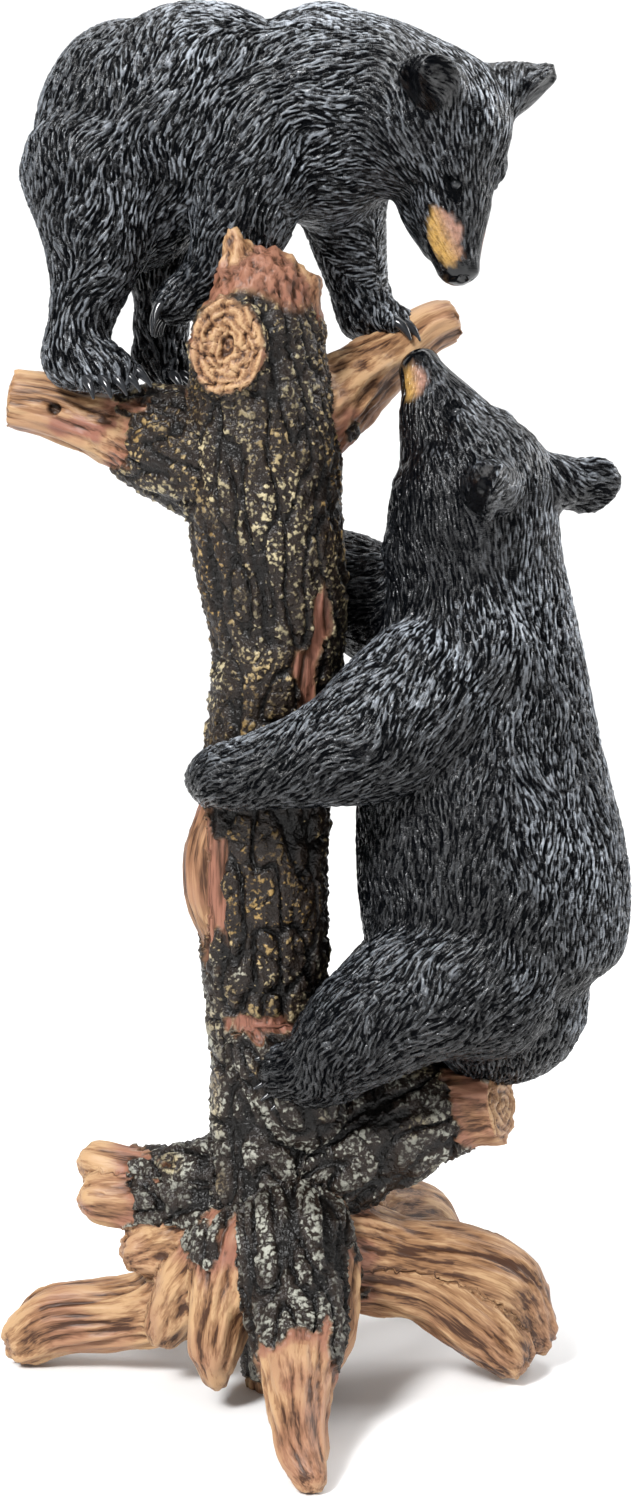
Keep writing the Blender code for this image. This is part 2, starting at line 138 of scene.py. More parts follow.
def smooth_path(knots: tuple[Knot, ...], scale: float, step: float = 0.008) -> Array:
    """A smooth centre line with radii through the knots.

    Between two knots each value is the cubic whose slope at a knot is half the difference of its neighbours.

    Args:
        knots: x, y, z and radius of each knot, in skeleton lengths.
        scale: metres to a skeleton length.
        step: about how far apart the points are, in metres.

    Returns:
        Rows of x, y, z and radius, in metres.
    """
    rows = np.array(knots, float) * scale
    ends = np.vstack([2 * rows[0] - rows[1], rows, 2 * rows[-1] - rows[-2]])
    lengths = np.linalg.norm(np.diff(rows[:, :3], axis=0), axis=1)
    parts = [rows[:1]]
    for i, length in enumerate(lengths):
        before, start, end, after = ends[i : i + 4]
        count = max(2, round(length / step))
        t = (np.arange(1, count + 1) / count)[:, None]
        bend = 2 * before - 5 * start + 4 * end - after
        twist = 3 * start - before - 3 * end + after
        parts.append(0.5 * (2 * start + (end - before) * t + bend * t**2 + twist * t**3))
    return np.vstack(parts)


def carried_frames(path: Array) -> tuple[Array, Array, Array]:
    """Directions along and across a path, carried along it without twisting.

    Args:
        path: rows of x, y, z and radius.

    Returns:
        The unit tangent and two unit directions across it, at each row.
    """
    tangents = unit(np.gradient(path[:, :3], axis=0))
    across = np.empty_like(tangents)
    across[0] = np.eye(3)[np.argmin(np.abs(tangents[0]))]
    for i, tangent in enumerate(tangents):
        carried = across[max(i - 1, 0)]
        across[i] = unit(carried - carried.dot(tangent) * tangent)
    return tangents, across, np.cross(tangents, across)


def closed_grid(grid: Array) -> Surface:
    """A closed surface from rows of rings, whose first and last rows are drawn together into poles.

    Args:
        grid: rows x columns x 3 places, closed around the columns.

    Returns:
        The surface, with a fan of triangles at each end.
    """
    rows, columns = grid.shape[:2]
    middle = grid[1:-1].reshape(-1, 3)
    points = np.vstack([grid[0].mean(axis=0), middle, grid[-1].mean(axis=0)])
    here = np.arange(columns)
    there = np.roll(here, -1)
    start = 1 + columns * np.arange(rows - 3)[:, None]
    quads = np.stack([start + here, start + there, start + columns + there, start + columns + here], -1)
    last = 1 + columns * (rows - 3)
    first_cap = np.stack([np.zeros_like(here), there + 1, here + 1], -1)
    last_cap = np.stack([np.full_like(here, len(points) - 1), last + here, last + there], -1)
    return Surface(points, quads.reshape(-1, 4).tolist() + first_cap.tolist() + last_cap.tolist())


def swept_tube(path: Array, sides: int = 24, cut: bool = False, tall: float = 1.0) -> Surface:
    """A circle carried along a path.

    A point is path(s) + r(s) (cos a * across(s) + sin a * other(s)). At a round end the radius closes as
    a quarter circle, and at a cut end it closes at once.

    Args:
        path: rows of x, y, z and radius.
        sides: points round the circle.
        cut: whether the far end is flat.
        tall: how much taller than wide the section is.

    Returns:
        The closed tube.
    """
    tangents, across, other = carried_frames(path)
    turn = np.radians((25.0, 48.0, 68.0, 82.0, 89.5))
    start = path[0, :3] - tangents[0] * path[0, 3] * np.sin(turn)[::-1, None]
    end = path[-1, :3] + tangents[-1] * path[-1, 3] * np.sin(turn)[:, None] * (0.02 if cut else 1.0)
    end_radius = path[-1, 3] * (np.linspace(0.97, 0.02, len(turn)) if cut else np.cos(turn))
    centre = np.vstack([start, path[:, :3], end])
    radius = np.concatenate([path[0, 3] * np.cos(turn)[::-1], path[:, 3], end_radius])
    pad = ((len(turn), len(turn)), (0, 0))
    across, other = np.pad(across, pad, "edge"), np.pad(other, pad, "edge")
    angle = np.linspace(0, 2 * math.pi, sides, endpoint=False)[:, None]
    ring = (np.cos(angle) * across[:, None] + np.sin(angle) * other[:, None]) * (1.0, 1.0, tall)
    return closed_grid(centre[:, None] + radius[:, None, None] * ring)


def ellipsoid(centre: Array, half: Array, axes: Array | None = None, rows: int = 20) -> Surface:
    """An ellipsoid: centre + axes (h1 cos p cos q, h2 cos p sin q, h3 sin p).

    Args:
        centre: its middle.
        half: its half sizes h1, h2 and h3.
        axes: its axes as columns, or none for the frame's own.
        rows: points from pole to pole, and half of the points round it.

    Returns:
        The closed ellipsoid.
    """
    latitude = np.linspace(-math.pi / 2, math.pi / 2, rows)[:, None]
    longitude = np.linspace(0, 2 * math.pi, 2 * rows, endpoint=False)[None]
    out = np.cos(latitude)
    ball = [out * np.cos(longitude), out * np.sin(longitude), np.sin(latitude) + 0 * longitude]
    turned = (np.stack(ball, -1) * np.asarray(half)) @ (np.eye(3) if axes is None else axes.T)
    return closed_grid(turned + np.asarray(centre))


def joined(surfaces: list[Surface]) -> Surface:
    """All the surfaces in one, each still closed.

    Args:
        surfaces: closed surfaces, which may cross.

    Returns:
        One surface with the points and faces of all.
    """
    offset = 0
    faces: list[list[int]] = []
    for surface in surfaces:
        faces += [[corner + offset for corner in face] for face in surface.faces]
        offset += len(surface.points)
    return Surface(np.vstack([surface.points for surface in surfaces]), faces)


def new_piece(name: str, surface: Surface) -> bpy.types.Object:
    """An object that holds a surface, at the origin.

    Args:
        name: the object's and the mesh's name.
        surface: its points and faces.

    Returns:
        The object, in the scene.
    """
    mesh = bpy.data.meshes.new(name)
    mesh.from_pydata(surface.points.tolist(), [], surface.faces)
    mesh.update()
    piece = bpy.data.objects.new(name, mesh)
    bpy.context.scene.collection.objects.link(piece)
    return piece


def apply_modifiers(piece: bpy.types.Object) -> None:
    """Puts what the modifiers make into the piece's own mesh.

    Args:
        piece: the object whose mesh is replaced.
    """
    bpy.context.view_layer.update()
    graph = bpy.context.evaluated_depsgraph_get()
    mesh = bpy.data.meshes.new_from_object(piece.evaluated_get(graph))
    old = piece.data
    piece.modifiers.clear()
    piece.data = mesh
    bpy.data.meshes.remove(old)
    mesh.name = piece.name


def fuse(piece: bpy.types.Object, voxel: float, soften: int) -> None:
    """One skin round all of a piece's closed surfaces, with soft joints between them.

    Args:
        piece: what holds the surfaces.
        voxel: the side of the skin's faces, in metres.
        soften: how many times each vertex moves halfway to its neighbours' mean.
    """
    remesh = piece.modifiers.new("skin", "REMESH")
    remesh.mode = "VOXEL"
    remesh.voxel_size = voxel
    smooth = piece.modifiers.new("soften", "SMOOTH")
    smooth.factor = 0.5
    smooth.iterations = soften
    apply_modifiers(piece)


def refine(piece: bpy.types.Object) -> None:
    """Args:
        piece: the object to divide.
    """
    levels = 2
    finer = piece.modifiers.new("finer", "SUBSURF")
    finer.levels = levels
    finer.render_levels = levels
    apply_modifiers(piece)


def lighten(piece: bpy.types.Object, triangles: int) -> None:
    """Args:
        piece: the object to lighten.
        triangles: how many it keeps at most.
    """
    triangles = triangles
    mesh = piece.data
    mesh.calc_loop_triangles()
    share = triangles / len(mesh.loop_triangles)
    if share < 1.0:
        fewer = piece.modifiers.new("fewer", "DECIMATE")
        fewer.ratio = share
        fewer.use_collapse_triangulate = True
        apply_modifiers(piece)


def coat(piece: bpy.types.Object, material: bpy.types.Material) -> None:
    """Gives a piece smooth shading and a finish."""
    piece.data.shade_smooth()
    piece.data.materials.append(material)


def vertex_arrays(mesh: bpy.types.Mesh) -> tuple[Array, Array]:
    """The places and normals of a mesh's vertices.

    Args:
        mesh: the mesh to read.

    Returns:
        Rows of x, y, z, and the unit normal of each.
    """
    places = np.empty(len(mesh.vertices) * 3, np.float32)
    normals = np.empty(len(mesh.vertices) * 3, np.float32)
    mesh.vertices.foreach_get("co", places)
    mesh.vertices.foreach_get("normal", normals)
    return places.reshape(-1, 3).astype(float), normals.reshape(-1, 3).astype(float)


def set_places(mesh: bpy.types.Mesh, places: Array) -> None:
    """Moves a mesh's vertices."""
    mesh.vertices.foreach_set("co", places.astype(np.float32).ravel())
    mesh.update()


def set_attributes(mesh: bpy.types.Mesh, **named: Array) -> None:
    """Stores a number, or a vector, for each vertex under each argument's name.

    Args:
        mesh: the mesh to write.
        **named: a number, or a row of three, for each vertex.
    """
    for name, values in named.items():
        kind, key = ("FLOAT", "value") if values.ndim == 1 else ("FLOAT_VECTOR", "vector")
        held = mesh.attributes.get(name) or mesh.attributes.new(name, kind, "POINT")
        held.data.foreach_set(key, values.astype(np.float32).ravel())


def get_attribute(mesh: bpy.types.Mesh, name: str) -> Array:
    """The number, or the vector, that each vertex holds.

    Args:
        mesh: the mesh to read.
        name: the attribute's name.

    Returns:
        A number, or a row of three, for each vertex.
    """
    held = mesh.attributes[name]
    width = 3 if held.data_type == "FLOAT_VECTOR" else 1
    values = np.empty(len(mesh.vertices) * width, np.float32)
    held.data.foreach_get("vector" if width == 3 else "value", values)
    return values.astype(float).reshape((-1, 3) if width == 3 else -1)


class NoiseBlock:
    """A seeded block of noise of one wavelength, which repeats in all directions.

    White noise keeps only the waves whose length is near CELLS cells: its spectrum is multiplied by
    exp(-((f - f0) / w)^2). Between cells the value is linear in each direction.
    """

    SIDE = 112
    CELLS = 7.0

    def __init__(self, seed: int) -> None:
        """Fills the block from its seed.

        Args:
            seed: what the block is drawn from.
        """
        random = np.random.default_rng(seed)
        white = random.standard_normal((self.SIDE,) * 3)
        whole = np.fft.fftfreq(self.SIDE)
        half = np.fft.rfftfreq(self.SIDE)
        frequency = np.sqrt(whole[:, None, None] ** 2 + whole[None, :, None] ** 2 + half[None, None] ** 2)
        centre = 1.0 / self.CELLS
        band = np.exp(-(((frequency - centre) / (0.32 * centre)) ** 2))
        block = np.fft.irfftn(np.fft.rfftn(white) * band, s=(self.SIDE,) * 3)
        self.block = (block / block.std()).astype(np.float32).ravel()
        self.turned = unit(np.array(((0.83, 0.41, 0.37), (-0.51, 0.79, 0.31), (-0.17, -0.45, 0.88))))

    def at(self, places: Array, wavelength: float) -> Array:
        """The noise at places, with waves of about that length. Its spread is about 1.

        Args:
            places: rows of x, y, z, in metres.
            wavelength: about how long a wave is, in metres.

        Returns:
            A number for each place.
        """
        grid = (places @ self.turned) * (self.CELLS / wavelength)
        low = np.floor(grid)
        share = (grid - low).astype(np.float32)
        low = low.astype(np.int64)
        near = low % self.SIDE
        far = (low + 1) % self.SIDE
        total = np.zeros(len(places), np.float32)
        for corner in range(8):
            bits = ((corner >> 2) & 1, (corner >> 1) & 1, corner & 1)
            i, j, k = (far[:, a] if bit else near[:, a] for a, bit in enumerate(bits))
            weight = np.ones(len(places), np.float32)
            for a, bit in enumerate(bits):
                weight *= share[:, a] if bit else 1.0 - share[:, a]
            total += weight * self.block[(i * self.SIDE + j) * self.SIDE + k]
        return total.astype(float)

    def streaks(self, places: Array, along: Array, wavelength: float, length: float, samples: int) -> Array:
        """Noise combed along a direction.

        It is the sum of noise(p + t d) for t from -1/2 to 1/2, weighed by a cosine, over its spread.

        Args:
            places: where to read it.
            along: the direction at each place.
            wavelength: how far apart the streaks are, in metres.
            length: how long a streak is, in metres.
            samples: how many places along a streak are read.

        Returns:
            A number for each place.
        """
        total = np.zeros(len(places))
        for t in np.linspace(-0.5, 0.5, samples):
            total += self.at(places + along * (t * length), wavelength) * math.cos(math.pi * t * 0.8)
        return total / total.std()


@dataclass
class LimbReading:
    """What the limbs near each place say of it.

    straight holds two lengths across the nearest limb and one along it, radius and tangent are that limb's
    there, and flow is the way that all the near limbs run.
    """

    straight: Array
    radius: Array
    tangent: Array
    flow: Array

    def store(self, mesh: bpy.types.Mesh) -> None:
        """Keeps the reading in the mesh, so that a finer skin inherits it."""
        set_attributes(mesh, **vars(self))

    @classmethod
    def stored(cls, mesh: bpy.types.Mesh) -> LimbReading:
        """The reading that a mesh holds.

        Args:
            mesh: a mesh that was refined from one with a stored reading.

        Returns:
            The reading, its directions made 1 long again.
        """
        names = ("straight", "radius", "tangent", "flow")
        straight, radius, tangent, flow = (get_attribute(mesh, name) for name in names)
        return cls(straight, radius, unit(tangent), unit(flow))

    def straightened(self, stretch: float) -> Array:
        """Places as if each limb were straight and shortened, so that noise there runs along it."""
        return self.straight * (1.0, 1.0, 1.0 / stretch)


def nearest_stretch(here: Array, path: Array) -> tuple[Array, Array, Array]:
    """The stretch of a path that each place is nearest to.

    Args:
        here: the places.
        path: rows of x, y, z and radius.

    Returns:
        How far each place is outside the limb, its stretch's row, and how far along that stretch it is.
    """
    near = np.full(len(here), np.inf)
    row = np.zeros(len(here), int)
    share_at = np.zeros(len(here))
    for i in range(len(path) - 1):
        axis = path[i + 1, :3] - path[i, :3]
        share = np.clip((here - path[i, :3]) @ axis / (axis @ axis), 0, 1)
        gap = here - path[i, :3] - share[:, None] * axis
        distance = np.sqrt((gap * gap).sum(axis=1)) - path[i, 3] - (path[i + 1, 3] - path[i, 3]) * share
        nearer = distance < near
        near[nearer] = distance[nearer]
        row[nearer] = i
        share_at[nearer] = share[nearer]
    return near, row, share_at


def read_limbs(
    places: Array, paths: list[Array], flows: list[float], blend: float = 0.014
) -> tuple[LimbReading, Array]:
    """Finds each place's limb, where it is along and round it, and which way the limbs near it run.

    Args:
        places: where to read.
        paths: each limb's rows of x, y, z and radius.
        flows: 1 or -1 for each limb: whether what flows over it runs along its path or back.
        blend: how far apart limbs still share the flow, in metres.

    Returns:
        The reading, and the number of each place's nearest limb.
    """
    count = len(places)
    best = np.full(count, np.inf)
    number, radius = np.zeros(count, int), np.ones(count)
    straight, tangent, flow = (np.zeros((count, 3)) for _ in range(3))
    for limb_number, (path, flow_sign) in enumerate(zip(paths, flows)):
        reach = path[:, 3].max() + 2.5 * blend
        low, high = path[:, :3].min(axis=0) - reach, path[:, :3].max(axis=0) + reach
        chosen = np.flatnonzero(((places > low) & (places < high)).all(axis=1))
        if not len(chosen):
            continue
        here = places[chosen]
        near, row, share = nearest_stretch(here, path)
        travelled = np.concatenate([[0], np.cumsum(np.linalg.norm(np.diff(path[:, :3], axis=0), axis=1))])
        rows_read = (path, *carried_frames(path))
        middle, ahead, across, other = (a[row] + (a[row + 1] - a[row]) * share[:, None] for a in rows_read)
        gap = here - middle[:, :3]
        ahead = unit(ahead)
        weight = np.exp(-np.clip(near, -0.02, 0.2) / blend)
        flow[chosen] += ahead * (weight * flow_sign)[:, None]
        wins = near < best[chosen]
        rows = chosen[wins]
        best[rows] = near[wins]
        number[rows] = limb_number
        along = travelled[row] + share * (travelled[row + 1] - travelled[row])
        unrolled = np.stack([(gap * across).sum(axis=1), (gap * other).sum(axis=1), along], -1)
        straight[rows] = unrolled[wins]
        radius[rows] = middle[wins, 3]
        tangent[rows] = ahead[wins]
    return LimbReading(straight, radius, tangent, unit(flow)), number


@dataclass(frozen=True)
class BearFinish:
    """Gloss black resin whose fur ridges carry silver dry brushing, heavier as painted highlight on fur
    facing up and right.
    """

    black: Place = (0.0012, 0.0015, 0.0022)
    silver: Place = (0.42, 0.46, 0.52)
    tan: Place = (0.44, 0.26, 0.075)
    pink: Place = (0.36, 0.20, 0.15)
    brown: Place = (0.06, 0.03, 0.016)
    roughness: float = 0.22
    brushed_roughness: float = 0.34
    nose_roughness: float = 0.14
    hairs_to_the_metre: float = 430.0
    hair_length: float = 0.0062

    def material(self) -> bpy.types.Material:
        """The paint: black grooves, silver ridges with painted highlight and shade, tan and pink muzzle,
        glossy nose.

        Returns:
            The material.
        """
        paint = Nodes("black_bear_paint")
        hairs = paint.combed(self.hairs_to_the_metre, self.hair_length, 5)
        brushed = paint.add(paint.times(paint.attribute("ridge"), 0.48), paint.times(hairs, 0.56))
        mask = paint.ramp(brushed, ((0.50, 0.0), (0.62, 0.28), (0.80, 1.0)))
        patch = paint.noise(9.0, 2.0)
        mask = paint.times(mask, paint.ramp(patch, ((0.38, 0.25), (0.65, 1.0))))
        # Painted highlight and shade: the stored strength of the dry brushing is higher on fur that faces up
        # and right, and lower on fur turned away from the light.
        mask = paint.times(mask, paint.attribute("brush"))
        colour = paint.mix(mask, self.black, self.silver)
        blotch = paint.ramp(paint.noise(260.0, 3.0), ((0.42, 0.0), (0.66, 1.0)))
        skin = paint.mix(paint.attribute("pink"), self.tan, self.pink)
        skin = paint.mix(paint.times(blotch, 0.45), skin, self.brown)
        colour = paint.mix(paint.attribute("muzzle"), colour, skin)
        paint.link(colour, "Base Color")
        nose = paint.attribute("nose")
        rough = paint.mix_value(mask, self.roughness, self.brushed_roughness)
        paint.link(paint.mix_value(nose, rough, self.nose_roughness), "Roughness")
        gloss = paint.ramp(brushed, ((0.38, 0.03), (0.72, 0.65)))
        paint.link(paint.mix_value(nose, gloss, 0.5), "Specular IOR Level")
        paint.bump(paint.times(hairs, paint.attribute("furred")), 0.0018, 0.8)
        return paint.material


@dataclass(frozen=True)
class ClawFinish:
    """Gloss black, as wet as lacquer."""

    black: Place = (0.008, 0.009, 0.011)
    worn: Place = (0.03, 0.032, 0.036)
    roughness: float = 0.14

    def material(self) -> bpy.types.Material:
        """A plain gloss with a faint mottling.

        Returns:
            The material.
        """
        paint = Nodes("claw_gloss")
        paint.link(paint.mix(paint.noise(220.0, 2.0), self.black, self.worn), "Base Color")
        paint.shader.inputs["Roughness"].default_value = self.roughness
        paint.bump(paint.noise(300.0, 2.0), 0.0002, 0.4)
        return paint.material


@dataclass(frozen=True)
class TreeFinish:
    """Dark bark with an olive and gold dry brushing, and bare wood in cream, tan, brown and pink, darker
    where shade is painted.
    """

    bark_dark: Place = (0.0025, 0.0018, 0.0014)
    bark_mid: Place = (0.016, 0.010, 0.007)
    bark_brush: Place = (0.48, 0.41, 0.25)
    bark_gold: Place = (0.36, 0.23, 0.08)
    bark_grey: Place = (0.34, 0.34, 0.29)
    wood_cream: Place = (0.44, 0.275, 0.145)
    wood_tan: Place = (0.25, 0.13, 0.062)
    wood_brown: Place = (0.055, 0.022, 0.010)
    wood_pink: Place = (0.25, 0.105, 0.07)
    wood_roughness: float = 0.46
    bark_roughness: float = 0.40
    specular: float = 0.3

    def material(self) -> bpy.types.Material:
        """The paint of bark and bare wood, by the carving's own height and place.

        Returns:
            The material.
        """
        paint = Nodes("painted_tree")
        # The carved height, darkened where shade is painted: in the hole, under the climbing bear's arm and
        # on the right root.
        height = paint.attribute("ridge")
        barked = paint.attribute("bark")
        worms = paint.math("ABSOLUTE", paint.scaled(paint.noise(150.0, 2.0), 2.0, -1.0))
        crumb = paint.add(paint.times(paint.noise(210.0, 3.0), 0.7), worms)
        colour = paint.mix(barked, self.wood(paint, height), self.bark(paint, height, crumb))
        paint.link(colour, "Base Color")
        paint.link(paint.mix_value(barked, self.wood_roughness, self.bark_roughness), "Roughness")
        paint.shader.inputs["Specular IOR Level"].default_value = self.specular
        relief = paint.mix_value(barked, self.grain(paint), paint.times(crumb, 1.6))
        paint.bump(relief, 0.0016, 0.8)
        return paint.material

    def bark(self, paint: Nodes, height: Socket, crumb: Socket) -> Socket:
        """Brown-black bark, its crumbs brushed with cream and gold, and with grey low down.

        Args:
            paint: the material's nodes.
            height: the carved height, from 0 to 1, lowered where shade is painted.
            crumb: the fine crumbs' height.

        Returns:
            The colour.
        """
        dark = paint.mix(paint.ramp(height, ((0.3, 0.0), (0.7, 1.0))), self.bark_dark, self.bark_mid)
        brushed = paint.add(paint.times(height, 0.55), paint.times(crumb, 0.75))
        brush = paint.ramp(brushed, ((0.77, 0.0), (0.94, 1.0)))
        brush = paint.times(brush, paint.ramp(paint.noise(24.0, 3.0), ((0.38, 0.3), (0.62, 1.0))))
        golden = paint.ramp(paint.noise(11.0, 2.0), ((0.42, 0.0), (0.6, 1.0)))
        gold = paint.mix(golden, self.bark_brush, self.bark_gold)
        return paint.mix(brush, dark, paint.mix(paint.attribute("grey"), gold, self.bark_grey))

    def grain(self, paint: Nodes) -> Socket:
        """Lines that run along each limb.

        Args:
            paint: the material's nodes.

        Returns:
            The grain's height.
        """
        straight = paint.stretched(paint.attribute("straight", "Vector"), (1.0, 1.0, 0.09))
        lines = paint.noise(230.0, 2.0, straight)
        return paint.add(paint.times(lines, 0.62), paint.times(paint.noise(640.0, 2.0, straight), 0.38))

    def wood(self, paint: Nodes, height: Socket) -> Socket:
        """Cream wood with tan and dark brown grain, pink beside the bark.

        Args:
            paint: the material's nodes.
            height: the carved height, from 0 to 1, lowered where shade is painted.

        Returns:
            The colour.
        """
        grain = paint.add(paint.times(self.grain(paint), 1.5), paint.scaled(height, 0.7, -0.65))
        wood = paint.mix(paint.ramp(grain, ((0.18, 0.0), (0.38, 1.0))), self.wood_brown, self.wood_tan)
        wood = paint.mix(paint.ramp(grain, ((0.42, 0.0), (0.66, 1.0))), wood, self.wood_cream)
        pink = paint.mix(paint.ramp(grain, ((0.2, 0.0), (0.5, 1.0))), self.wood_brown, self.wood_pink)
        blush = paint.ramp(paint.noise(13.0, 2.0), ((0.46, 0.0), (0.66, 0.55)))
        wood = paint.mix(blush, wood, pink)
        return paint.mix(paint.attribute("red"), wood, pink)


class Nodes:
    """A painted finish under construction: a Principled shader and the nodes that feed it."""

    def __init__(self, name: str) -> None:
        """Starts a material with its coordinates taken from the object.

        Args:
            name: the material's name.
        """
        self.material = bpy.data.materials.new(name)
        self.material.use_nodes = True
        self.tree = self.material.node_tree
        self.shader = self.tree.nodes["Principled BSDF"]
        self.places = self.tree.nodes.new("ShaderNodeTexCoord").outputs["Object"]

    def link(self, value: Socket, name: str) -> None:
        """Feeds one of the shader's inputs."""
        self.tree.links.new(value, self.shader.inputs[name])

    def feed(self, socket: Socket, value: Socket | float | tuple[float, ...]) -> None:
        """Links a value to a node's input, or sets the input where the value is a number or numbers.

        Args:
            socket: the node's input.
            value: what to feed it.
        """
        if isinstance(value, bpy.types.NodeSocket):
            self.tree.links.new(value, socket)
        else:
            socket.default_value = value

    def attribute(self, name: str, output: str = "Fac") -> Socket:
        """A number, or a vector, that the mesh holds for each vertex.

        Args:
            name: the attribute's name.
            output: Fac for a number, Vector for a vector.

        Returns:
            The value.
        """
        node = self.tree.nodes.new("ShaderNodeAttribute")
        node.attribute_name = name
        return node.outputs[output]

    def stretched(self, vector: Socket, by: Place, plus: Socket | Place = (0.0, 0.0, 0.0)) -> Socket:
        """A vector whose parts are each multiplied by a number, plus another vector.

        Args:
            vector: the vector.
            by: what its parts are multiplied by.
            plus: what is added.

        Returns:
            The new vector.
        """
        node = self.tree.nodes.new("ShaderNodeVectorMath")
        node.operation = "MULTIPLY_ADD"
        for socket, value in zip(node.inputs, (vector, by, plus)):
            self.feed(socket, value)
        return node.outputs["Vector"]

    def noise(self, scale: float, detail: float, at: Socket | None = None) -> Socket:
        """Cloudy noise of about scale waves to the metre.

        Args:
            scale: waves to the metre.
            detail: how many finer layers it has.
            at: where it is read, or none for the object's own places.

        Returns:
            The noise, from about 0 to 1.
        """
        node = self.tree.nodes.new("ShaderNodeTexNoise")
        node.inputs["Scale"].default_value = scale
        node.inputs["Detail"].default_value = detail
        self.tree.links.new(at or self.places, node.inputs["Vector"])
        return node.outputs["Fac"]

    def combed(self, scale: float, length: float, samples: int, contrast: float = 3.4) -> Socket:
        """Noise drawn out along the stored flow: the mean of noise(p + t flow), its contrast restored.

        Args:
            scale: waves to the metre.
            length: how long a hair is, in metres.
            samples: how many places along a hair are read.
            contrast: how far the contrast is increased.

        Returns:
            The noise, from about 0 to 1.
        """
        flow = self.attribute("flow", "Vector")
        total = None
        for share in np.linspace(-0.5, 0.5, samples):
            value = self.noise(scale, 1.0, self.stretched(flow, (share * length,) * 3, self.places))
            total = value if total is None else self.add(total, value)
        return self.scaled(total, contrast / samples, 0.5 - contrast / 2)

    def math(self, kind: str, *values: float | Socket) -> Socket:
        """One sum of one, two or three numbers.

        Args:
            kind: the node's operation.
            *values: its inputs.

        Returns:
            The result.
        """
        node = self.tree.nodes.new("ShaderNodeMath")
        node.operation = kind
        for socket, value in zip(node.inputs, values):
            self.feed(socket, value)
        return node.outputs["Value"]

    def add(self, a: Socket, b: Socket) -> Socket:
        """a + b."""
        return self.math("ADD", a, b)

    def times(self, a: Socket, b: float | Socket) -> Socket:
        """a times b."""
        return self.math("MULTIPLY", a, b)

    def scaled(self, a: Socket, by: float, plus: float) -> Socket:
        """a times a number, plus a number."""
        return self.math("MULTIPLY_ADD", a, by, plus)

    def ramp(self, value: Socket, stops: tuple[tuple[float, float], ...]) -> Socket:
        """Greys that change between stops of position and value.

        Args:
            value: what is looked up.
            stops: positions and greys, in rising order.

        Returns:
            The grey.
        """
        node = self.tree.nodes.new("ShaderNodeValToRGB")
        elements = node.color_ramp.elements
        while len(elements) < len(stops):
            elements.new(0.5)
        for element, (position, grey) in zip(elements, stops):
            element.position = position
            element.color = (grey, grey, grey, 1.0)
        self.tree.links.new(value, node.inputs["Fac"])
        return node.outputs["Color"]

    def mix(self, share: Socket, a: Place | Socket, b: Place | Socket) -> Socket:
        """The colour a, turning to b as share goes from 0 to 1.

        Args:
            share: how much of b there is.
            a: the first colour.
            b: the second colour.

        Returns:
            The colour.
        """
        node = self.tree.nodes.new("ShaderNodeMix")
        node.data_type = "RGBA"
        self.tree.links.new(share, node.inputs["Factor"])
        for socket, value in ((node.inputs[6], a), (node.inputs[7], b)):
            self.feed(socket, value if isinstance(value, bpy.types.NodeSocket) else (*value, 1.0))
        return node.outputs[2]

    def mix_value(self, share: Socket, a: float | Socket, b: float | Socket) -> Socket:
        """The number a, turning to b as share goes from 0 to 1.

        Args:
            share: how much of b there is.
            a: the first number.
            b: the second number.

        Returns:
            The number.
        """
        node = self.tree.nodes.new("ShaderNodeMix")
        self.tree.links.new(share, node.inputs["Factor"])
        self.feed(node.inputs[2], a)
        self.feed(node.inputs[3], b)
        return node.outputs[0]

    def bump(self, height: Socket, distance: float, strength: float) -> None:
        """Fine relief from a height.

        Args:
            height: the relief.
            distance: how high it is, in metres.
            strength: how much of it counts, from 0 to 1.
        """
        node = self.tree.nodes.new("ShaderNodeBump")
        node.inputs["Distance"].default_value = distance
        node.inputs["Strength"].default_value = strength
        self.tree.links.new(height, node.inputs["Height"])
        self.link(node.outputs["Normal"], "Normal")


def limb(*knots: Knot, cut: bool = False, barked: float = 0.0, flow: float = 1.0, tall: float = 1.0) -> Limb:
    """A limb through its knots."""
    return Limb(knots, cut, barked, flow, tall)


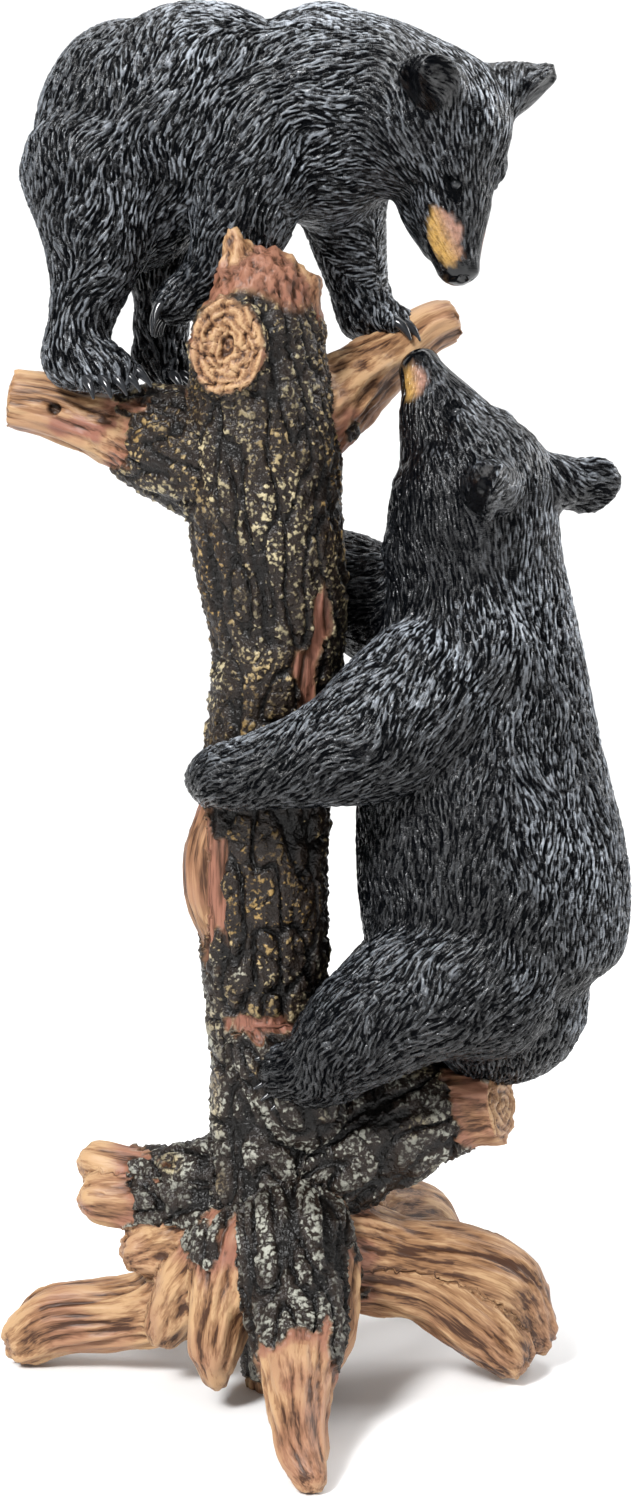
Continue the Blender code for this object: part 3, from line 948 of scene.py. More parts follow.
@dataclass
class Tree:
    """The broken, rooted tree: trunk, stump, branches and roots, in one casting."""

    RED_WOOD = (
        Mass((-170, 12, 841), (25, 40, 9)),
        Mass((30, -43, 682), (9, 40, 26)),
        Mass((19, -50, 635), (9, 40, 34)),
        Mass((-20, -60, 337), (32, 60, 10)),
    )
    BARE_WOOD = (Mass((-64, -10, 458), (15, 60, 58)),)
    HOLE = Mass((-197, 24, 858), (6, 16, 6))
    KNOT = Mass((-47, -61, 911), (29, 14, 41))

    scale: float
    voxel: float = 0.0040
    soften: int = 5
    triangles: int = 197000
    bark_depth: float = 0.0095
    wood_depth: float = 0.0062
    crumble_depth: float = 0.003
    bark_step: float = 0.0022
    hole_depth: float = 0.008
    skin_level: float = 0.58
    skin_sink: float = 0.0012
    seed: int = 11
    limbs: dict[str, Limb] = field(default_factory=lambda: {
        "trunk": limb(
            (-14, 0, 120, 74), (-13, 0, 210, 53), (-15, 0, 303, 49), (-18, 0, 392, 53), (-19, 0, 462, 54),
            (-17, 0, 532, 54), (-13, 0, 593, 52), (-6, 0, 653, 55), (-9, 0, 705, 61), (-16, 0, 764, 64),
            (-19, 2, 824, 65), (-21, 0, 882, 58), (-22, -4, 933, 50), (-22, -8, 955, 40), barked=1200,
        ),
        "spike": limb((-28, -14, 949, 28), (-37, -16, 981, 19), (-42, -16, 1004, 9)),
        "middle_spike": limb((-5, -8, 949, 25), (0, -8, 974, 16)),
        "right_spike": limb((12, -4, 924, 24), (17, -4, 951, 17), (21, -4, 962, 13)),
        "knot": limb((-43, -30, 908, 36), (-47, -60, 911, 30), cut=True, barked=26, tall=1.36),
        "left_branch": limb(
            (-25, 8, 798, 56), (-68, 16, 819, 54), (-107, 28, 831, 47), (-141, 40, 841, 36),
            (-172, 46, 849, 29), (-202, 50, 859, 28), (-236, 54, 864, 27), cut=True, barked=105,
        ),
        "right_branch": limb(
            (13, 20, 846, 48), (52, 50, 872, 36), (89, 76, 898, 27), (121, 94, 922, 23), (146, 106, 932, 21),
            cut=True,
        ),
        "low_branch": limb(
            (-18, 0, 181, 51), (35, 0, 200, 49), (96, 0, 236, 50), (146, -4, 253, 40), (189, -22, 261, 34),
            cut=True, barked=190,
        ),
        "flake": limb((-61, -8, 512, 17), (-69, -12, 482, 20), (-67, -12, 443, 21), (-58, -8, 407, 16)),
        "left_foot_rest": limb((-13, -20, 310, 40), (13, -24, 262, 40), barked=200),
        "front_root": limb(
            (6, -50, 147, 52), (12, -100, 88, 42), (12, -160, 53, 30), (13, -205, 34, 24),
            (16, -232, 22, 21), (23, -248, 12, 16), barked=105,
        ),
        "front_root_flank": limb((30, -60, 125, 36), (36, -90, 80, 26), (28, -125, 54, 16)),
        "left_root": limb(
            (-44, -5, 119, 46), (-103, 25, 66, 37), (-149, 40, 51, 33), (-203, 48, 44, 33),
            (-230, 52, 26, 28),
        ),
        "short_root": limb((-53, -20, 129, 39), (-85, -20, 93, 31), (-105, -15, 56, 20)),
        "second_short_root": limb(
            (-39, -35, 134, 45), (-54, -60, 88, 30), (-60, -70, 54, 24), (-59, -72, 34, 15)
        ),
        "right_root": limb(
            (30, 0, 127, 53), (92, 10, 110, 43), (146, 25, 95, 46), (187, 33, 76, 44), (216, 40, 40, 30)
        ),
        "lower_right_root": limb((48, -10, 109, 37), (118, 0, 90, 32), (164, 0, 57, 32), (194, 0, 30, 26)),
        "back_right_root": limb(
            (39, 40, 151, 43), (98, 90, 141, 25), (134, 140, 114, 20), (155, 190, 50, 20), (162, 212, 20, 18)
        ),
        "back_left_root": limb(
            (-45, 40, 147, 45), (-83, 100, 119, 28), (-104, 160, 60, 24), (-118, 208, 18, 18)
        ),
        "back_root": limb((-14, 40, 156, 49), (-2, 120, 122, 32), (10, 190, 62, 26), (14, 236, 22, 20)),
        "high_stub": limb((-62, 8, 184, 39), (-120, 30, 184, 23), (-168, 46, 189, 20), barked=70),
        "middle_stub": limb((-62, 0, 163, 40), (-120, 15, 162, 27), (-163, 25, 162, 23), barked=60),
        "low_stub": limb((-62, 0, 136, 40), (-100, 3, 128, 31), (-124, 5, 121, 24)),
    })

    def build(self) -> bpy.types.Object:
        """Sweeps the limbs, fuses them, carves bark and grain, and paints the tree.

        Returns:
            The tree's object.
        """
        limbs = list(self.limbs.values())
        paths = [smooth_path(one.knots, self.scale) for one in limbs]
        surfaces = [swept_tube(path, cut=one.cut, tall=one.tall) for path, one in zip(paths, limbs)]
        core = np.array([(0.0, 0.0, 0.001, 0.036), (0.0, 0.0, 0.12, 0.040)])
        surfaces.append(swept_tube(core, cut=True))
        tree = new_piece("tree_casting", joined(surfaces))
        fuse(tree, self.voxel, self.soften)
        read, number = read_limbs(vertex_arrays(tree.data)[0], paths, [1.0] * len(paths))
        read.store(tree.data)
        barked = np.array([one.barked for one in limbs])[number] * self.scale
        cut = np.array([one.cut for one in limbs])[number].astype(float)
        set_attributes(tree.data, bark_left=barked - read.straight[:, 2], cut=cut)
        refine(tree)
        self.carve(tree)
        lighten(tree, self.triangles)
        self.flatten_feet(tree)
        coat(tree, TreeFinish().material())
        return tree

    def carve(self, tree: bpy.types.Object) -> None:
        """Raises bark plates and wood grain, and stores what the paint reads, painted shade included.

        Args:
            tree: the tree, with its limbs' reading stored.
        """
        mesh = tree.data
        places, normals = vertex_arrays(mesh)
        read = LimbReading.stored(mesh)
        bark_left = get_attribute(mesh, "bark_left")
        block = NoiseBlock(self.seed)
        wander = block.at(places, 0.05)
        torn = block.at(read.straightened(2.5), 0.016)
        crumb = block.at(places, 0.0062)
        bark = smooth_step(bark_left + 0.012 * wander + 0.006 * torn, -0.0012, 0.0012)
        red = np.max([spot.covers(places, self.scale, 0.25 * torn) for spot in self.RED_WOOD], axis=0)
        bare = np.max([spot.covers(places, self.scale, 0.25 * torn) for spot in self.BARE_WOOD], axis=0)
        crumbled = smooth_step(places[:, 2] / self.scale + 5 * wander, 940, 954) * (places[:, 0] < 0.06)
        face = get_attribute(mesh, "cut") * smooth_step((normals * read.tangent).sum(axis=1), 0.55, 0.8)
        hole = self.HOLE.covers(places, self.scale)
        bark = bark * (1 - face) * (1 - red) * (1 - bare) * (1 - crumbled)
        bark_height = self.bark(block, read, places, crumb)
        rings, dish = self.rings(block, read, places, torn)
        splinter = 0.5 + 0.20 * block.at(places * (1, 1, 0.5), 0.012) + 0.08 * crumb
        wood_height = self.grain(block, read) * (1 - face) + rings * face
        wood_height = wood_height * (1 - crumbled) + crumbled * splinter
        height = bark * bark_height + (1 - bark) * wood_height
        thick = np.clip(read.radius / 0.03, 0.3, 1.0)
        depth = self.bark_depth * bark + self.wood_depth * (1 - bark) * (1 - 0.3 * face)
        depth = depth + self.crumble_depth * crumbled
        out = ((height - self.skin_level) * depth + self.bark_step * bark) * thick - self.skin_sink
        out = out + dish * face - self.hole_depth * hole
        set_places(mesh, places + normals * out[:, None])
        # Painted shade in the hole in the left branch: its paint is darkened and turned mostly to the dark
        # bark colour.
        shaded = 1 - 0.85 * hole
        beside = smooth_step(0.030 + 0.016 * wander + bark_left, 0.0, 0.022) * (1 - face)
        beside = np.maximum(beside, 0.30 * crumbled * smooth_step(torn, -0.5, 1.1))
        set_attributes(
            mesh,
            # Painted shade: the height that the paint reads is darkened in the hole, under the climbing
            # bear's arm and on the right root.
            ridge=np.clip(height, 0, 1) * shaded * (1 - self.painted_shade(places)),
            bark=np.maximum(bark, 0.7 * hole),
            red=np.clip(np.maximum(beside * 0.85, red) * (1 - bark), 0, 1),
            grey=smooth_step(0.40 - places[:, 2] + 0.06 * wander, 0.0, 0.14),
        )

    def painted_shade(self, places: Array) -> Array:
        """Painted shade: how much darker the paint is on the trunk under the climbing bear's arm and on the
        right root, where shade falls.

        Args:
            places: where to read.

        Returns:
            A share to take off, for each place.
        """
        under_arm = smooth_step(-places[:, 2], -0.58, -0.52) * smooth_step(places[:, 2], 0.34, 0.38)
        right_root = smooth_step(places[:, 0], 0.05, 0.09) * smooth_step(-places[:, 2], -0.20, -0.15)
        return 0.22 * under_arm + 0.30 * right_root

    def bark(self, block: NoiseBlock, read: LimbReading, places: Array, crumb: Array) -> Array:
        """Bark height from 0 to 1: plates between furrows along the limb and cracks across it, crumbed.

        Args:
            block: the noise.
            read: what the limbs say.
            places: where to read.
            crumb: noise for the crumbs.

        Returns:
            A height for each place.
        """
        low = smooth_step(-places[:, 2], -0.56, -0.48)
        furrow = 1 - np.exp(-((block.at(read.straightened(3.0), 0.027) / (0.34 + 0.14 * low)) ** 2))
        crack = 1 - np.exp(-((block.at(read.straightened(0.7) + 3.1, 0.046) / 0.20) ** 2))
        flake = block.at(read.straightened(1.6), 0.0115)
        plates = (0.44 + 0.24 * low) * furrow * (0.6 + 0.4 * crack)
        return 0.26 - 0.12 * low + plates + 0.075 * flake + 0.05 * crumb

    def grain(self, block: NoiseBlock, read: LimbReading) -> Array:
        """Bare wood's height from 0 to 1: long grooves and finer grain in them.

        Args:
            block: the noise.
            read: what the limbs say.

        Returns:
            A height for each place.
        """
        groove = block.at(read.straightened(8.0), 0.022)
        line = block.at(read.straightened(7.0) + 1.7, 0.0085)
        return 0.56 + 0.26 * np.tanh(1.3 * groove) + 0.17 * line

    def rings(self, block: NoiseBlock, read: LimbReading, places: Array, torn: Array) -> tuple[Array, Array]:
        """Year rings of a cut end, and how far the face is dished.

        The rings are waves of the distance from the pith, pushed about by noise. On the big knot the
        distance is taken to an ellipse, its rim stands up and cracks run out from the pith.

        Args:
            block: the noise.
            read: what the limbs say.
            places: where to read.
            torn: noise that pushes the rings about.

        Returns:
            The rings' height from 0 to 1, and how far out the face stands, in metres.
        """
        reach = np.hypot(read.straight[:, 0], read.straight[:, 1]) / np.maximum(read.radius, 0.01)
        across = (places / self.scale - self.KNOT.centre) / self.KNOT.half
        oval = np.hypot(across[:, 0], across[:, 2])
        knot = smooth_step(-oval, -1.42, -1.2) * (np.abs(across[:, 1]) < 1.6)
        reach = reach * (1 - knot) + oval * knot + 0.045 * torn
        angle = np.arctan2(across[:, 2], across[:, 0]) + 0.25 * torn
        crack = np.exp(-((np.sin(3.5 * angle + 1.0) / 0.16) ** 2)) * smooth_step(reach, 0.15, 0.4) * knot
        ring = 0.5 + 0.5 * np.sin(2 * math.pi * reach / 0.22 + 0.8 * block.at(places, 0.03))
        pith = smooth_step(-reach, -0.30, -0.18) * knot
        dish = knot * (0.0045 * np.clip(reach, 0, 1.1) ** 3 - 0.0015 - 0.003 * pith - 0.0025 * crack)
        return 0.25 + 0.55 * ring + 0.06 * torn - 0.4 * crack - 0.35 * pith, dish

    def flatten_feet(self, tree: bpy.types.Object) -> None:
        """Cuts the roots off at the ground, as the casting stands on it.

        Args:
            tree: the carved tree.
        """
        places, _ = vertex_arrays(tree.data)
        places[:, 2] = np.maximum(places[:, 2], 0.0)
        set_places(tree.data, places)


@dataclass(frozen=True)
class HeadPose:
    """Where a head is and which way it points, how its ears stand, and where its muzzle patch is."""

    centre: Place
    left: Place
    forward: Place
    ears: Place
    ear_facing: Place
    patch: Mass
    size: float = 1.0


@dataclass(frozen=True)
class Paw:
    """Where a paw's toes start, the way they point and spread, and half their spread."""

    start: Place
    pointing: Place
    spreading: Place
    spread: float


class Head:
    """A bear's head in its own axes: forward, left and up."""

    MASSES = (
        Mass((0, 0, 0), (60, 56, 56)),
        Mass((16, 27, -18), (38, 30, 32)),
        Mass((16, -27, -18), (38, 30, 32)),
        Mass((38, 21, 20), (22, 19, 16)),
        Mass((38, -21, 20), (22, 19, 16)),
        Mass((125, 0, -5), (10, 16, 12)),
    )
    LIMBS = (
        limb((28, 0, -2, 43), (66, 0, -8, 35), (96, 0, -12, 27), (117, 0, -12, 20), flow=-1),
        limb((15, 0, -32, 34), (66, 0, -36, 24), (98, 0, -32, 14), flow=-1),
        limb((-18, 36, 28, 27), (-24, 58, 42, 20), (-28, 76, 52, 10)),
        limb((-18, -36, 28, 27), (-24, -58, 42, 20), (-28, -76, 52, 10)),
    )
    EAR_HALF = (9.0, 27.0, 30.0)
    EAR_UP = (-0.05, 0.85, 0.5)
    NOSE_TIP = (134.0, 0.0, 0.0)
    EYE = Mass((58, 23.5, 20), (4.6, 4.6, 4.6))
    EYE_SOCKET = Mass((61, 27, 19), (14, 12, 6))
    NOSTRIL = Mass((135, 7, -2), (7, 4.5, 3.5))
    MOUTH = ((70.0, -26.0), (122.0, -17.0))

    def __init__(self, pose: HeadPose, scale: float) -> None:
        """Sets up the head's axes.

        Args:
            pose: how the head is held.
            scale: metres to a skeleton length.
        """
        forward = unit(np.array(pose.forward))
        left = np.array(pose.left)
        left = unit(left - left.dot(forward) * forward)
        self.axes = np.stack([forward, left, np.cross(forward, left)], axis=1)
        self.centre = np.array(pose.centre) * scale
        self.size = pose.size * scale
        self.scale = scale
        self.pose = pose

    def place(self, point: Place) -> Array:
        """A point of the head, in the group's frame."""
        return self.centre + self.axes @ (np.array(point) * self.size)

    def local(self, places: Array) -> Array:
        """Places in the head's own axes, in skeleton lengths."""
        return (places - self.centre) @ self.axes / self.size

    def ear(self, side: int) -> tuple[Array, Array, Array]:
        """Where an ear is and how it stands.

        Args:
            side: 1 for the left ear, -1 for the right.

        Returns:
            Its middle, its axes (facing, across, up) and its half sizes.
        """
        mirror = np.array((1.0, side, 1.0))
        facing = unit(self.axes @ (np.array(self.pose.ear_facing) * mirror))
        upward = self.axes @ (np.array(self.EAR_UP) * mirror)
        upward = unit(upward - upward.dot(facing) * facing)
        axes = np.stack([facing, np.cross(upward, facing), upward], axis=1)
        middle = self.place(tuple(np.array(self.pose.ears) * mirror))
        return middle, axes, np.array(self.EAR_HALF) * self.size

    def limbs(self) -> list[Limb]:
        """The head's limbs as skeleton limbs of the whole bear.

        Returns:
            The muzzle, the jaw and the roots of the ears.
        """
        made = []
        for one in self.LIMBS:
            knots = tuple(
                (*(self.place(k[:3]) / self.scale), k[3] * self.size / self.scale) for k in one.knots
            )
            made.append(limb(*knots, flow=one.flow))
        return made

    def eyes(self) -> Surface:
        """Both eyes, as glossy balls.

        Returns:
            The surface of both balls.
        """
        balls = []
        for side in (1, -1):
            middle = self.place(tuple(np.array(self.EYE.centre) * (1, side, 1)))
            balls.append(ellipsoid(middle, np.array(self.EYE.half) * self.size, rows=14))
        return joined(balls)

    def dents(self, local: Array) -> Array:
        """How deep the eye sockets, nostrils and mouth slit are, in metres of a group 1.2 m tall.

        Args:
            local: places in the head's axes, with the right side folded onto the left.

        Returns:
            A depth for each place.
        """
        socket = self.EYE_SOCKET.covers(local, 1.0)
        nostril = self.NOSTRIL.covers(local, 1.0)
        (start, start_height), (end, end_height) = self.MOUTH
        line = start_height + (local[:, 0] - start) * (end_height - start_height) / (end - start)
        slit = np.exp(-(((local[:, 2] - line) / 1.6) ** 2)) * smooth_step(local[:, 0], start - 4, start + 4)
        slit = slit * smooth_step(-local[:, 0], -end - 4, -end + 2)
        return 0.003 * socket + 0.0045 * nostril + 0.0028 * slit

    def ear_hollows(self, places: Array) -> Array:
        """1 in the smooth bowls of both ears, 0 elsewhere.

        Args:
            places: where to read.

        Returns:
            A number for each place.
        """
        hollows = np.zeros(len(places))
        for side in (1, -1):
            middle, axes, half = self.ear(side)
            inside = (places - middle) @ axes / half
            spread = np.hypot(inside[:, 1], inside[:, 2])
            front = (inside[:, 0] > -0.45) & (inside[:, 0] < 2)
            hollows = np.maximum(hollows, smooth_step(-spread, -1.0, -0.8) * front)
        return hollows

    def surfaces(self) -> list[Surface]:
        """The skull, cheeks, brows, nose pad and ears.

        Returns:
            Closed surfaces, in the group's frame.
        """
        made = []
        for mass in self.MASSES:
            made.append(ellipsoid(self.place(mass.centre), np.array(mass.half) * self.size, self.axes))
        return made + [self.ear_shell(side) for side in (1, -1)]

    def ear_shell(self, side: int) -> Surface:
        """A cupped ear: an ellipsoid whose front is pushed in as a bowl, x -> rim - depth (1 - r^2).

        Args:
            side: 1 for the left ear, -1 for the right.

        Returns:
            The closed surface.
        """
        middle, axes, half = self.ear(side)
        ball = ellipsoid(np.zeros(3), np.ones(3), rows=26)
        spread = np.clip(np.hypot(ball.points[:, 1], ball.points[:, 2]), 0, 1)
        front = 0.75 * np.sqrt(1 - spread**2) - 1.15 * np.clip(1 - (spread / 0.86) ** 2, 0, 1)
        ball.points[:, 0] = np.where(ball.points[:, 0] > 0, front, ball.points[:, 0])
        return Surface((ball.points * half) @ axes.T + middle, ball.faces)


@dataclass
class Bear:
    """One bear: its limbs, masses, head and paws, in one casting, with its claws and eyes.

    LOCK, STRAND and SHORT_STRAND are the wavelengths and lengths of the fur's streaks, in metres, and how
    many places along a streak are read.
    """

    LOCK = (0.0100, 0.022, 4)
    STRAND = (0.0036, 0.0066, 5)
    SHORT_STRAND = (0.0034, 0.0065, 4)

    name: str
    scale: float
    limbs: tuple[Limb, ...]
    masses: tuple[Mass, ...]
    pose: HeadPose
    paws: tuple[Paw, ...]
    hang: Place
    # Strength of the silver dry brushing, and the share of it left, as painted shade, on fur turned away
    # from the light.
    brush: float
    shaded_side_share: float
    voxel: float = 0.0036
    soften: int = 4
    triangles: int = 197000
    toes: int = 5
    claw_length: float = 0.018
    claw_radius: float = 0.0050
    toe_radius: float = 0.0095
    fur_depth: float = 0.0017
    head_fur_depth: float = 0.00075
    hang_share: float = 0.45
    swing: float = 0.24
    seed: int = 23

    def build(self) -> list[bpy.types.Object]:
        """Makes the skin, carves its fur, paints it, and adds the claws and eyes.

        Returns:
            The skin, the claws and the eyes.
        """
        head = Head(self.pose, self.scale)
        limbs = list(self.limbs) + head.limbs()
        paths = [smooth_path(one.knots, self.scale) for one in limbs]
        surfaces = [swept_tube(path, cut=one.cut) for path, one in zip(paths, limbs)]
        for mass in self.masses:
            surfaces.append(ellipsoid(np.array(mass.centre) * self.scale, np.array(mass.half) * self.scale))
        surfaces += head.surfaces()
        surfaces += [toe for paw in self.paws for toe in self.toe_balls(paw)]
        skin = new_piece(self.name + "_skin", joined(surfaces))
        fuse(skin, self.voxel, self.soften)
        read, _ = read_limbs(vertex_arrays(skin.data)[0], paths, [one.flow for one in limbs])
        read.store(skin.data)
        refine(skin)
        self.carve(skin, head)
        lighten(skin, self.triangles)
        coat(skin, BearFinish().material())
        claws = new_piece(self.name + "_claws", joined([c for paw in self.paws for c in self.claws(paw)]))
        eyes = new_piece(self.name + "_eyes", head.eyes())
        gloss = ClawFinish().material()
        for piece in (claws, eyes):
            coat(piece, gloss)
        return [skin, claws, eyes]

    def toe_places(self, paw: Paw) -> list[tuple[Array, Array, Array]]:
        """Each toe's middle, the way its claw points, and the way down from it.

        Args:
            paw: the paw.

        Returns:
            A middle and two directions for each toe.
        """
        pointing = unit(np.array(paw.pointing))
        spreading = unit(np.array(paw.spreading))
        down = unit(np.cross(pointing, spreading))
        down = -down if down[2] > 0 else down
        made = []
        for across in np.linspace(-1, 1, self.toes):
            middle = np.array(paw.start) * self.scale + spreading * across * paw.spread * self.scale
            middle = middle + pointing * self.toe_radius * 0.6 * (1 - across**2)
            made.append((middle, unit(pointing + spreading * across * 0.25), down))
        return made

    def toe_balls(self, paw: Paw) -> list[Surface]:
        """The toes' round pads."""
        half = np.full(3, self.toe_radius)
        return [ellipsoid(middle, half, rows=12) for middle, _, _ in self.toe_places(paw)]

    def claws(self, paw: Paw) -> list[Surface]:
        """The claws: each a circle that shrinks along a path bent down as t^2.

        Args:
            paw: the paw.

        Returns:
            A closed surface for each claw.
        """
        made = []
        for middle, out, down in self.toe_places(paw):
            t = np.linspace(0, 1, 9)[:, None]
            centre = middle + out * (self.toe_radius * 0.5 + self.claw_length * t)
            centre = centre + down * self.claw_length * (0.5 * t**2 - 0.12)
            radius = self.claw_radius * (1.1 - 0.85 * t**1.3)
            made.append(swept_tube(np.hstack([centre, radius]), sides=12))
        return made

    def combed(self, read: LimbReading, normals: Array, swing: Array, fan: Array, on_head: Array) -> Array:
        """The way the fur lies: along the limbs and down, and on the head away from the nose.

        The direction is laid flat on the skin and turned by swing: cos(swing) * flow + sin(swing) * side.

        Args:
            read: what the limbs say.
            normals: the skin's normals.
            swing: how far the fur is turned, in radians.
            fan: the ways away from the nose.
            on_head: 1 on the head, 0 off it.

        Returns:
            A unit direction for each place.
        """
        flow = unit(read.flow + np.array(self.hang) * self.hang_share)
        flow = unit(flow * (1 - on_head)[:, None] + fan * on_head[:, None])
        flow = unit(flow - (flow * normals).sum(axis=1)[:, None] * normals)
        side = np.cross(normals, flow)
        return unit(flow * np.cos(swing)[:, None] + side * np.sin(swing)[:, None])

    def carve(self, skin: bpy.types.Object, head: Head) -> None:
        """Combs strands and locks into the skin, and stores what the paint reads, painted highlight and
        shade included.

        Args:
            skin: the skin, with its limbs' reading stored.
            head: the bear's head.
        """
        mesh = skin.data
        places, normals = vertex_arrays(mesh)
        read = LimbReading.stored(mesh)
        local = head.local(places)
        block = NoiseBlock(self.seed)
        on_head = smooth_step(-np.linalg.norm(local * (0.8, 1.0, 1.0), axis=1), -95.0, -62.0)
        on_muzzle = smooth_step(local[:, 0], 40.0, 60.0) * (np.linalg.norm(local, axis=1) < 160)
        on_head = np.maximum(on_head, on_muzzle)
        on_body = 1 - on_head
        fan = unit(places - head.place(head.NOSE_TIP))
        swing = self.swing * block.at(places, 0.06) * (1 - 0.7 * on_head)
        flow = self.combed(read, normals, swing, fan, on_head)
        locks, strands, short = (
            block.streaks(places, flow, *streak) for streak in (self.LOCK, self.STRAND, self.SHORT_STRAND)
        )
        slim = smooth_step(-np.hypot(local[:, 1], local[:, 2] + 8), -52.0, -44.0) * on_head
        muzzle_fine = smooth_step(local[:, 0], 62.0, 90.0) * slim
        nose = smooth_step(local[:, 0], 118.0, 122.0) * smooth_step(local[:, 2], -22.0, -16.0) * slim
        ears = head.ear_hollows(places)
        body_height = 0.34 * np.tanh(locks) + 0.74 * np.tanh(1.3 * strands)
        height = on_body * body_height + on_head * 0.75 * np.tanh(short)
        plain = (1 - nose) * (1 - ears) * (1 - 0.75 * muzzle_fine)
        depth = (self.fur_depth * on_body + self.head_fur_depth * on_head) * plain
        depth = depth * np.clip(read.radius / 0.022, 0.35, 1)
        folded = local * (1, 0, 1) + np.abs(local) * (0, 1, 0)
        dents = head.dents(folded) * head.size * 1000.0
        set_places(mesh, places + normals * (height * depth - dents)[:, None])
        ridge = 0.5 + 0.30 * (strands * on_body + short * on_head) + 0.10 * locks * on_body
        # Painted shade: the fur paint, and the muzzle patch, are darkened in the eye sockets, nostrils and
        # mouth slit.
        shade = np.clip(1 - dents / 0.0016, 0, 1)
        # Painted highlight and shade: the silver dry brushing is full where the fur faces up and to the
        # right, toward the light, and drops to a share on the sides turned away.
        facing_the_light = smooth_step(0.7 * normals[:, 2] + 0.5 * normals[:, 0], -0.08, 0.60)
        brush = self.brush * (self.shaded_side_share + (1 - self.shaded_side_share) * facing_the_light) * (1 - 0.35 * muzzle_fine)
        patch = head.pose.patch
        bare = patch.covers(folded, 1.0, 0.10 * block.at(places, 0.012)) * (1 - nose) * shade
        set_attributes(
            mesh,
            ridge=np.clip(ridge, 0, 1) * shade,
            flow=flow,
            brush=np.clip(brush * (1 - nose) * (1 - ears), 0, 1),
            furred=np.clip((1 - nose) * (1 - 0.85 * ears), 0, 1),
            nose=np.clip(nose, 0, 1),
            muzzle=np.clip(bare, 0, 1),
            pink=smooth_step((folded[:, 2] - patch.centre[2]) / patch.half[2], -0.3, 0.7),
        )


def standing_bear(scale: float) -> Bear:
    """The upper bear: feet on the branches, a forepaw raised behind the stump, head down and turned.

    Args:
        scale: metres to a skeleton length.

    Returns:
        The bear.
    """
    return Bear(
        "standing_bear",
        scale,
        (
            limb(
                (-157, 35, 1052, 68), (-158, 25, 1004, 50), (-165, 17, 962, 34), (-173, 14, 928, 27),
                (-176, 12, 907, 29),
            ),
            limb((-178, 12, 901, 28), (-161, 2, 896, 25), (-145, -6, 890, 20)),
            limb((-127, 92, 1060, 61), (-116, 96, 1009, 43), (-107, 98, 958, 26), (-109, 98, 919, 24)),
            limb((-111, 96, 902, 24), (-99, 90, 892, 21), (-88, 86, 886, 17)),
            limb(
                (-19, 35, 1100, 57), (-29, 24, 1049, 52), (-39, 20, 1009, 42), (-53, 22, 981, 31),
                (-73, 26, 959, 23), (-94, 28, 947, 19),
            ),
            limb(
                (43, 88, 1094, 59), (49, 92, 1035, 41), (58, 94, 988, 31), (65, 94, 958, 26),
                (69, 94, 939, 25),
            ),
            limb((69, 94, 935, 23), (86, 88, 933, 19), (98, 86, 930, 15)),
            limb((30, 62, 1114, 83), (77, 48, 1109, 77), (114, 30, 1101, 68), flow=-1),
        ),
        (
            Mass((-134, 60, 1079), (80, 73, 106)),
            Mass((-72, 60, 1101), (104, 79, 99)),
            Mass((34, 60, 1104), (73, 75, 95)),
        ),
        HeadPose(
            (136, 19, 1097), (0.69, 0.72, 0.0), (0.155, -0.149, -0.977), (-22, 62, 42), (0.8, 0.5, 0.2),
            Mass((98, 24, -2), (27, 14, 15)),
        ),
        (
            Paw((-148, -10, 886), (0.60, -0.75, -0.30), (0.80, 0.55, 0.15), 23),
            Paw((-90, 82, 886), (0.75, -0.60, -0.30), (0.60, 0.75, 0.10), 16),
            Paw((-97, 28, 944), (-0.70, -0.15, -0.70), (0.10, 0.95, -0.25), 13),
            Paw((98, 84, 930), (0.90, -0.35, -0.30), (0.35, 0.93, 0.05), 17),
        ),
        hang=(-0.9, 0.0, -0.6),
        brush=0.9,
        shaded_side_share=0.55,
    )


def climbing_bear(scale: float) -> Bear:
    """The lower bear: arms round the trunk, feet on the low branch, head up.

    Args:
        scale: metres to a skeleton length.

    Returns:
        The bear.
    """
    return Bear(
        "climbing_bear",
        scale,
        (
            limb(
                (122, -50, 620, 68), (73, -72, 590, 58), (26, -84, 573, 42), (-24, -84, 561, 32),
                (-50, -74, 556, 28), (-62, -52, 550, 22),
            ),
            limb(
                (143, 50, 665, 64), (96, 72, 674, 50), (50, 84, 702, 47), (13, 92, 709, 37),
                (-19, 86, 702, 28),
            ),
            limb((158, -50, 385, 82), (108, -70, 367, 60), (59, -72, 334, 49), (28, -66, 304, 35)),
            limb((43, -64, 303, 31), (16, -62, 301, 30), (3, -58, 298, 25)),
            limb((163, 50, 370, 82), (106, 72, 340, 58), (59, 74, 302, 44), (29, 70, 274, 32)),
            limb((44, 68, 274, 30), (15, 66, 272, 29), (2, 62, 271, 24)),
            limb(
                (163, 0, 722, 75), (170, 0, 628, 89), (171, 0, 532, 109), (181, 0, 445, 117),
                (183, 0, 382, 107), (187, 0, 352, 78),
            ),
            limb((163, 0, 722, 75), (159, -8, 774, 72), flow=-1),
            limb((140, -5, 740, 58), (137, 0, 800, 42), (123, 10, 852, 27), flow=-1),
        ),
        (Mass((162, 0, 650), (74, 100, 84)),),
        HeadPose(
            (171, -18, 796), (-0.677, -0.735, 0.0), (-0.40, 0.35, 0.845), (-32, 65, 47), (0.65, 0.53, -0.45),
            Mass((105, 24, -8), (17, 13, 12)),
        ),
        (
            Paw((-64, -44, 550), (-0.10, 0.97, -0.20), (0.10, 0.10, 0.98), 17),
            Paw((-22, 80, 701), (-0.75, -0.60, -0.10), (0.10, -0.10, 0.98), 16),
            Paw((0, -60, 297), (-0.80, 0.30, -0.45), (-0.40, 0.10, 0.90), 17),
            Paw((0, 62, 270), (-0.80, -0.30, -0.40), (-0.40, -0.10, 0.90), 16),
        ),
        hang=(0.0, 0.0, -1.0),
        brush=1.0,
        shaded_side_share=0.10,
    )


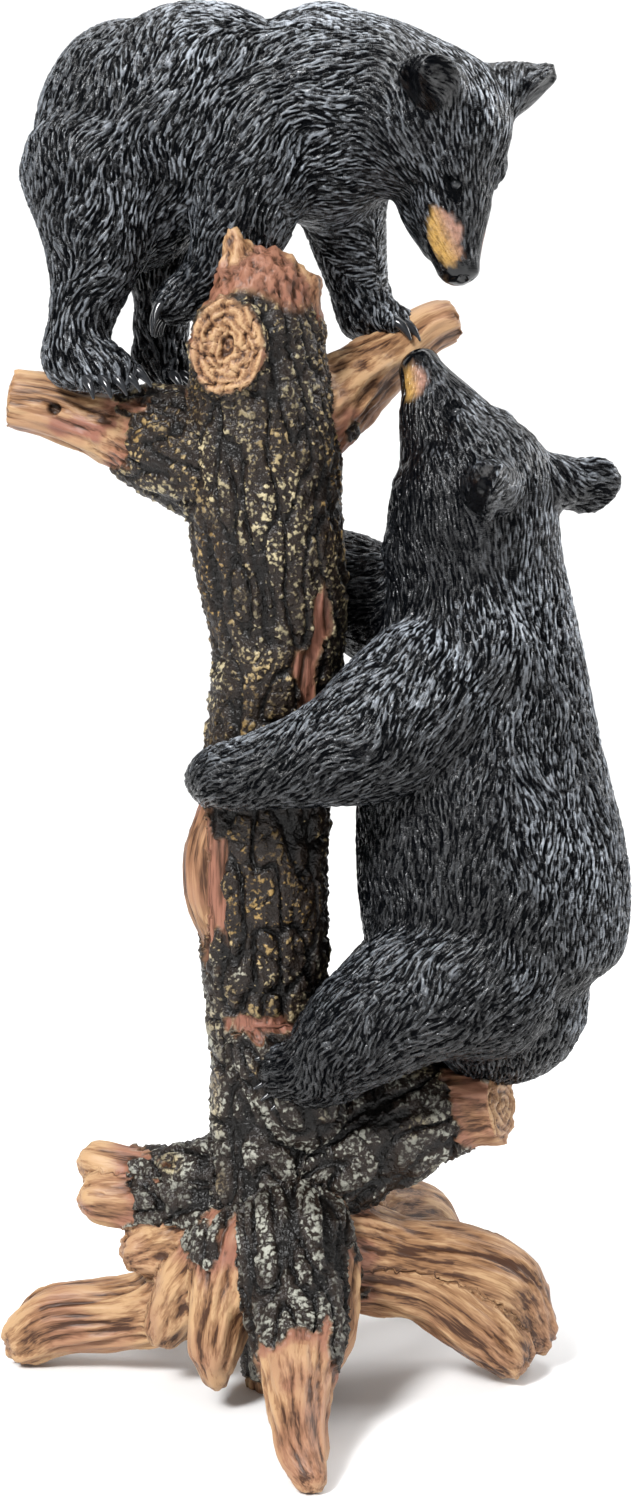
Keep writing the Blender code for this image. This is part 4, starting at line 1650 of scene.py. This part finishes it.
@dataclass
class Studio:
    """The camera, the pale floor and the soft lights: each light's name, place, width and power."""

    LIGHTS = (
        ("key", (-1.3, -2.2, 2.9), 1.1, 60.0),
        ("top", (0.3, 0.3, 3.2), 1.8, 50.0),
        ("rim", (2.2, 0.9, 1.8), 1.2, 40.0),
        ("fill", (1.6, -2.4, 0.9), 1.8, 8.0),
    )

    scale: float
    camera_place: Place = (0.0267, -2.6, 0.95)
    pitch_down: float = math.radians(8.38)
    field_of_view: float = math.radians(27.534)
    floor_side: float = 30.0
    wall_distance: float = 8.0
    sun_power: float = 3.0
    sun_width: float = math.radians(12.0)
    sun_direction: Place = (0.45, 0.72, -0.75)
    sky: float = 0.30
    lit_place: Place = (0.05, 0.0, 0.65)
    pale: Place = (0.86, 0.86, 0.86)
    palest: Place = (0.89, 0.89, 0.89)
    matt: float = 0.9

    def build(self) -> None:
        """Sets up all of it."""
        self.add_camera()
        half, wall = self.floor_side / 2, self.wall_distance
        low = ((-half, wall, 0), (half, wall, 0))
        self.add_plane("floor", ((-half, -half, 0), (half, -half, 0), (half, half, 0), (-half, half, 0)))
        self.add_plane("backdrop", (*low, (half, wall, half), (-half, wall, half)))
        for light in self.LIGHTS:
            self.add_light(*light)
        self.add_sun()
        world = bpy.data.worlds.new("studio")
        world.use_nodes = True
        background = world.node_tree.nodes["Background"]
        background.inputs["Color"].default_value = (1.0, 1.0, 1.0, 1.0)
        background.inputs["Strength"].default_value = self.sky
        bpy.context.scene.world = world
        bpy.context.scene.view_settings.view_transform = "Standard"

    def add_sun(self) -> None:
        """A wide, even light from the upper left, which reaches the floor and the backdrop."""
        sun = bpy.data.lights.new("sun", "SUN")
        sun.energy = self.sun_power
        sun.angle = self.sun_width
        holder = bpy.data.objects.new("sun", sun)
        holder.rotation_euler = Vector(self.sun_direction).to_track_quat("-Z", "Y").to_euler()
        bpy.context.scene.collection.objects.link(holder)

    def add_camera(self) -> None:
        """The photograph's view: level from the front, a little above the middle, looking slightly down."""
        data = bpy.data.cameras.new("camera")
        data.sensor_fit = "VERTICAL"
        data.angle = self.field_of_view
        camera = bpy.data.objects.new("camera", data)
        camera.location = Vector(self.camera_place) * (self.scale * 1000.0)
        camera.rotation_euler = (math.pi / 2 - self.pitch_down, 0.0, 0.0)
        bpy.context.scene.collection.objects.link(camera)
        bpy.context.scene.camera = camera

    def add_plane(self, name: str, corners: tuple[Place, ...]) -> None:
        """A wide pale floor or wall.

        Args:
            name: the object's name.
            corners: its four corners, in metres.
        """
        plane = new_piece(name, Surface(np.array(corners, float), [[0, 1, 2, 3]]))
        paint = Nodes(name + "_white")
        paint.link(paint.mix(paint.noise(3.0, 1.0), self.pale, self.palest), "Base Color")
        paint.shader.inputs["Roughness"].default_value = self.matt
        plane.data.materials.append(paint.material)
        plane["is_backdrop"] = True

    def add_light(self, name: str, place: Place, size: float, power: float) -> None:
        """A square soft light that faces the middle of the group.

        Args:
            name: its name.
            place: where it is, in metres.
            size: its side, in metres.
            power: its power, in watts.
        """
        data = bpy.data.lights.new(name, "AREA")
        data.size = size
        data.energy = power
        light = bpy.data.objects.new(name, data)
        light.location = place
        facing = Vector(self.lit_place) - light.location
        light.rotation_euler = facing.to_track_quat("-Z", "Y").to_euler()
        bpy.context.scene.collection.objects.link(light)


def declare(piece: bpy.types.Object, slot: Slot, *nodes: str) -> None:
    """Says which body a piece rides on and which solids it stands for.

    Args:
        piece: the object.
        slot: its finish; not used.
        *nodes: the solids that it replaces.
    """
    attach(piece, "root")
    if nodes:
        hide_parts(*nodes)
    LOG.info("%s: %d faces", piece.name, len(piece.data.polygons))


def main() -> None:
    """Builds the studio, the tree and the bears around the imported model."""
    logging.basicConfig(level=logging.INFO, format="%(message)s")
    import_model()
    solid_box = [list(corner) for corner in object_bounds()]
    height = solid_box[1][2] - solid_box[0][2]
    scale = height / SKELETON_HEIGHT
    Studio(scale).build()
    declare(Tree(scale).build(), Slot.WOOD, "tree")
    for bear, node in ((standing_bear(scale), "standing_bear"), (climbing_bear(scale), "climbing_bear")):
        skin, *others = bear.build()
        declare(skin, Slot.BEAR, node)
        for piece in others:
            declare(piece, Slot.BEAR)


if __name__ == "__main__":
    main()
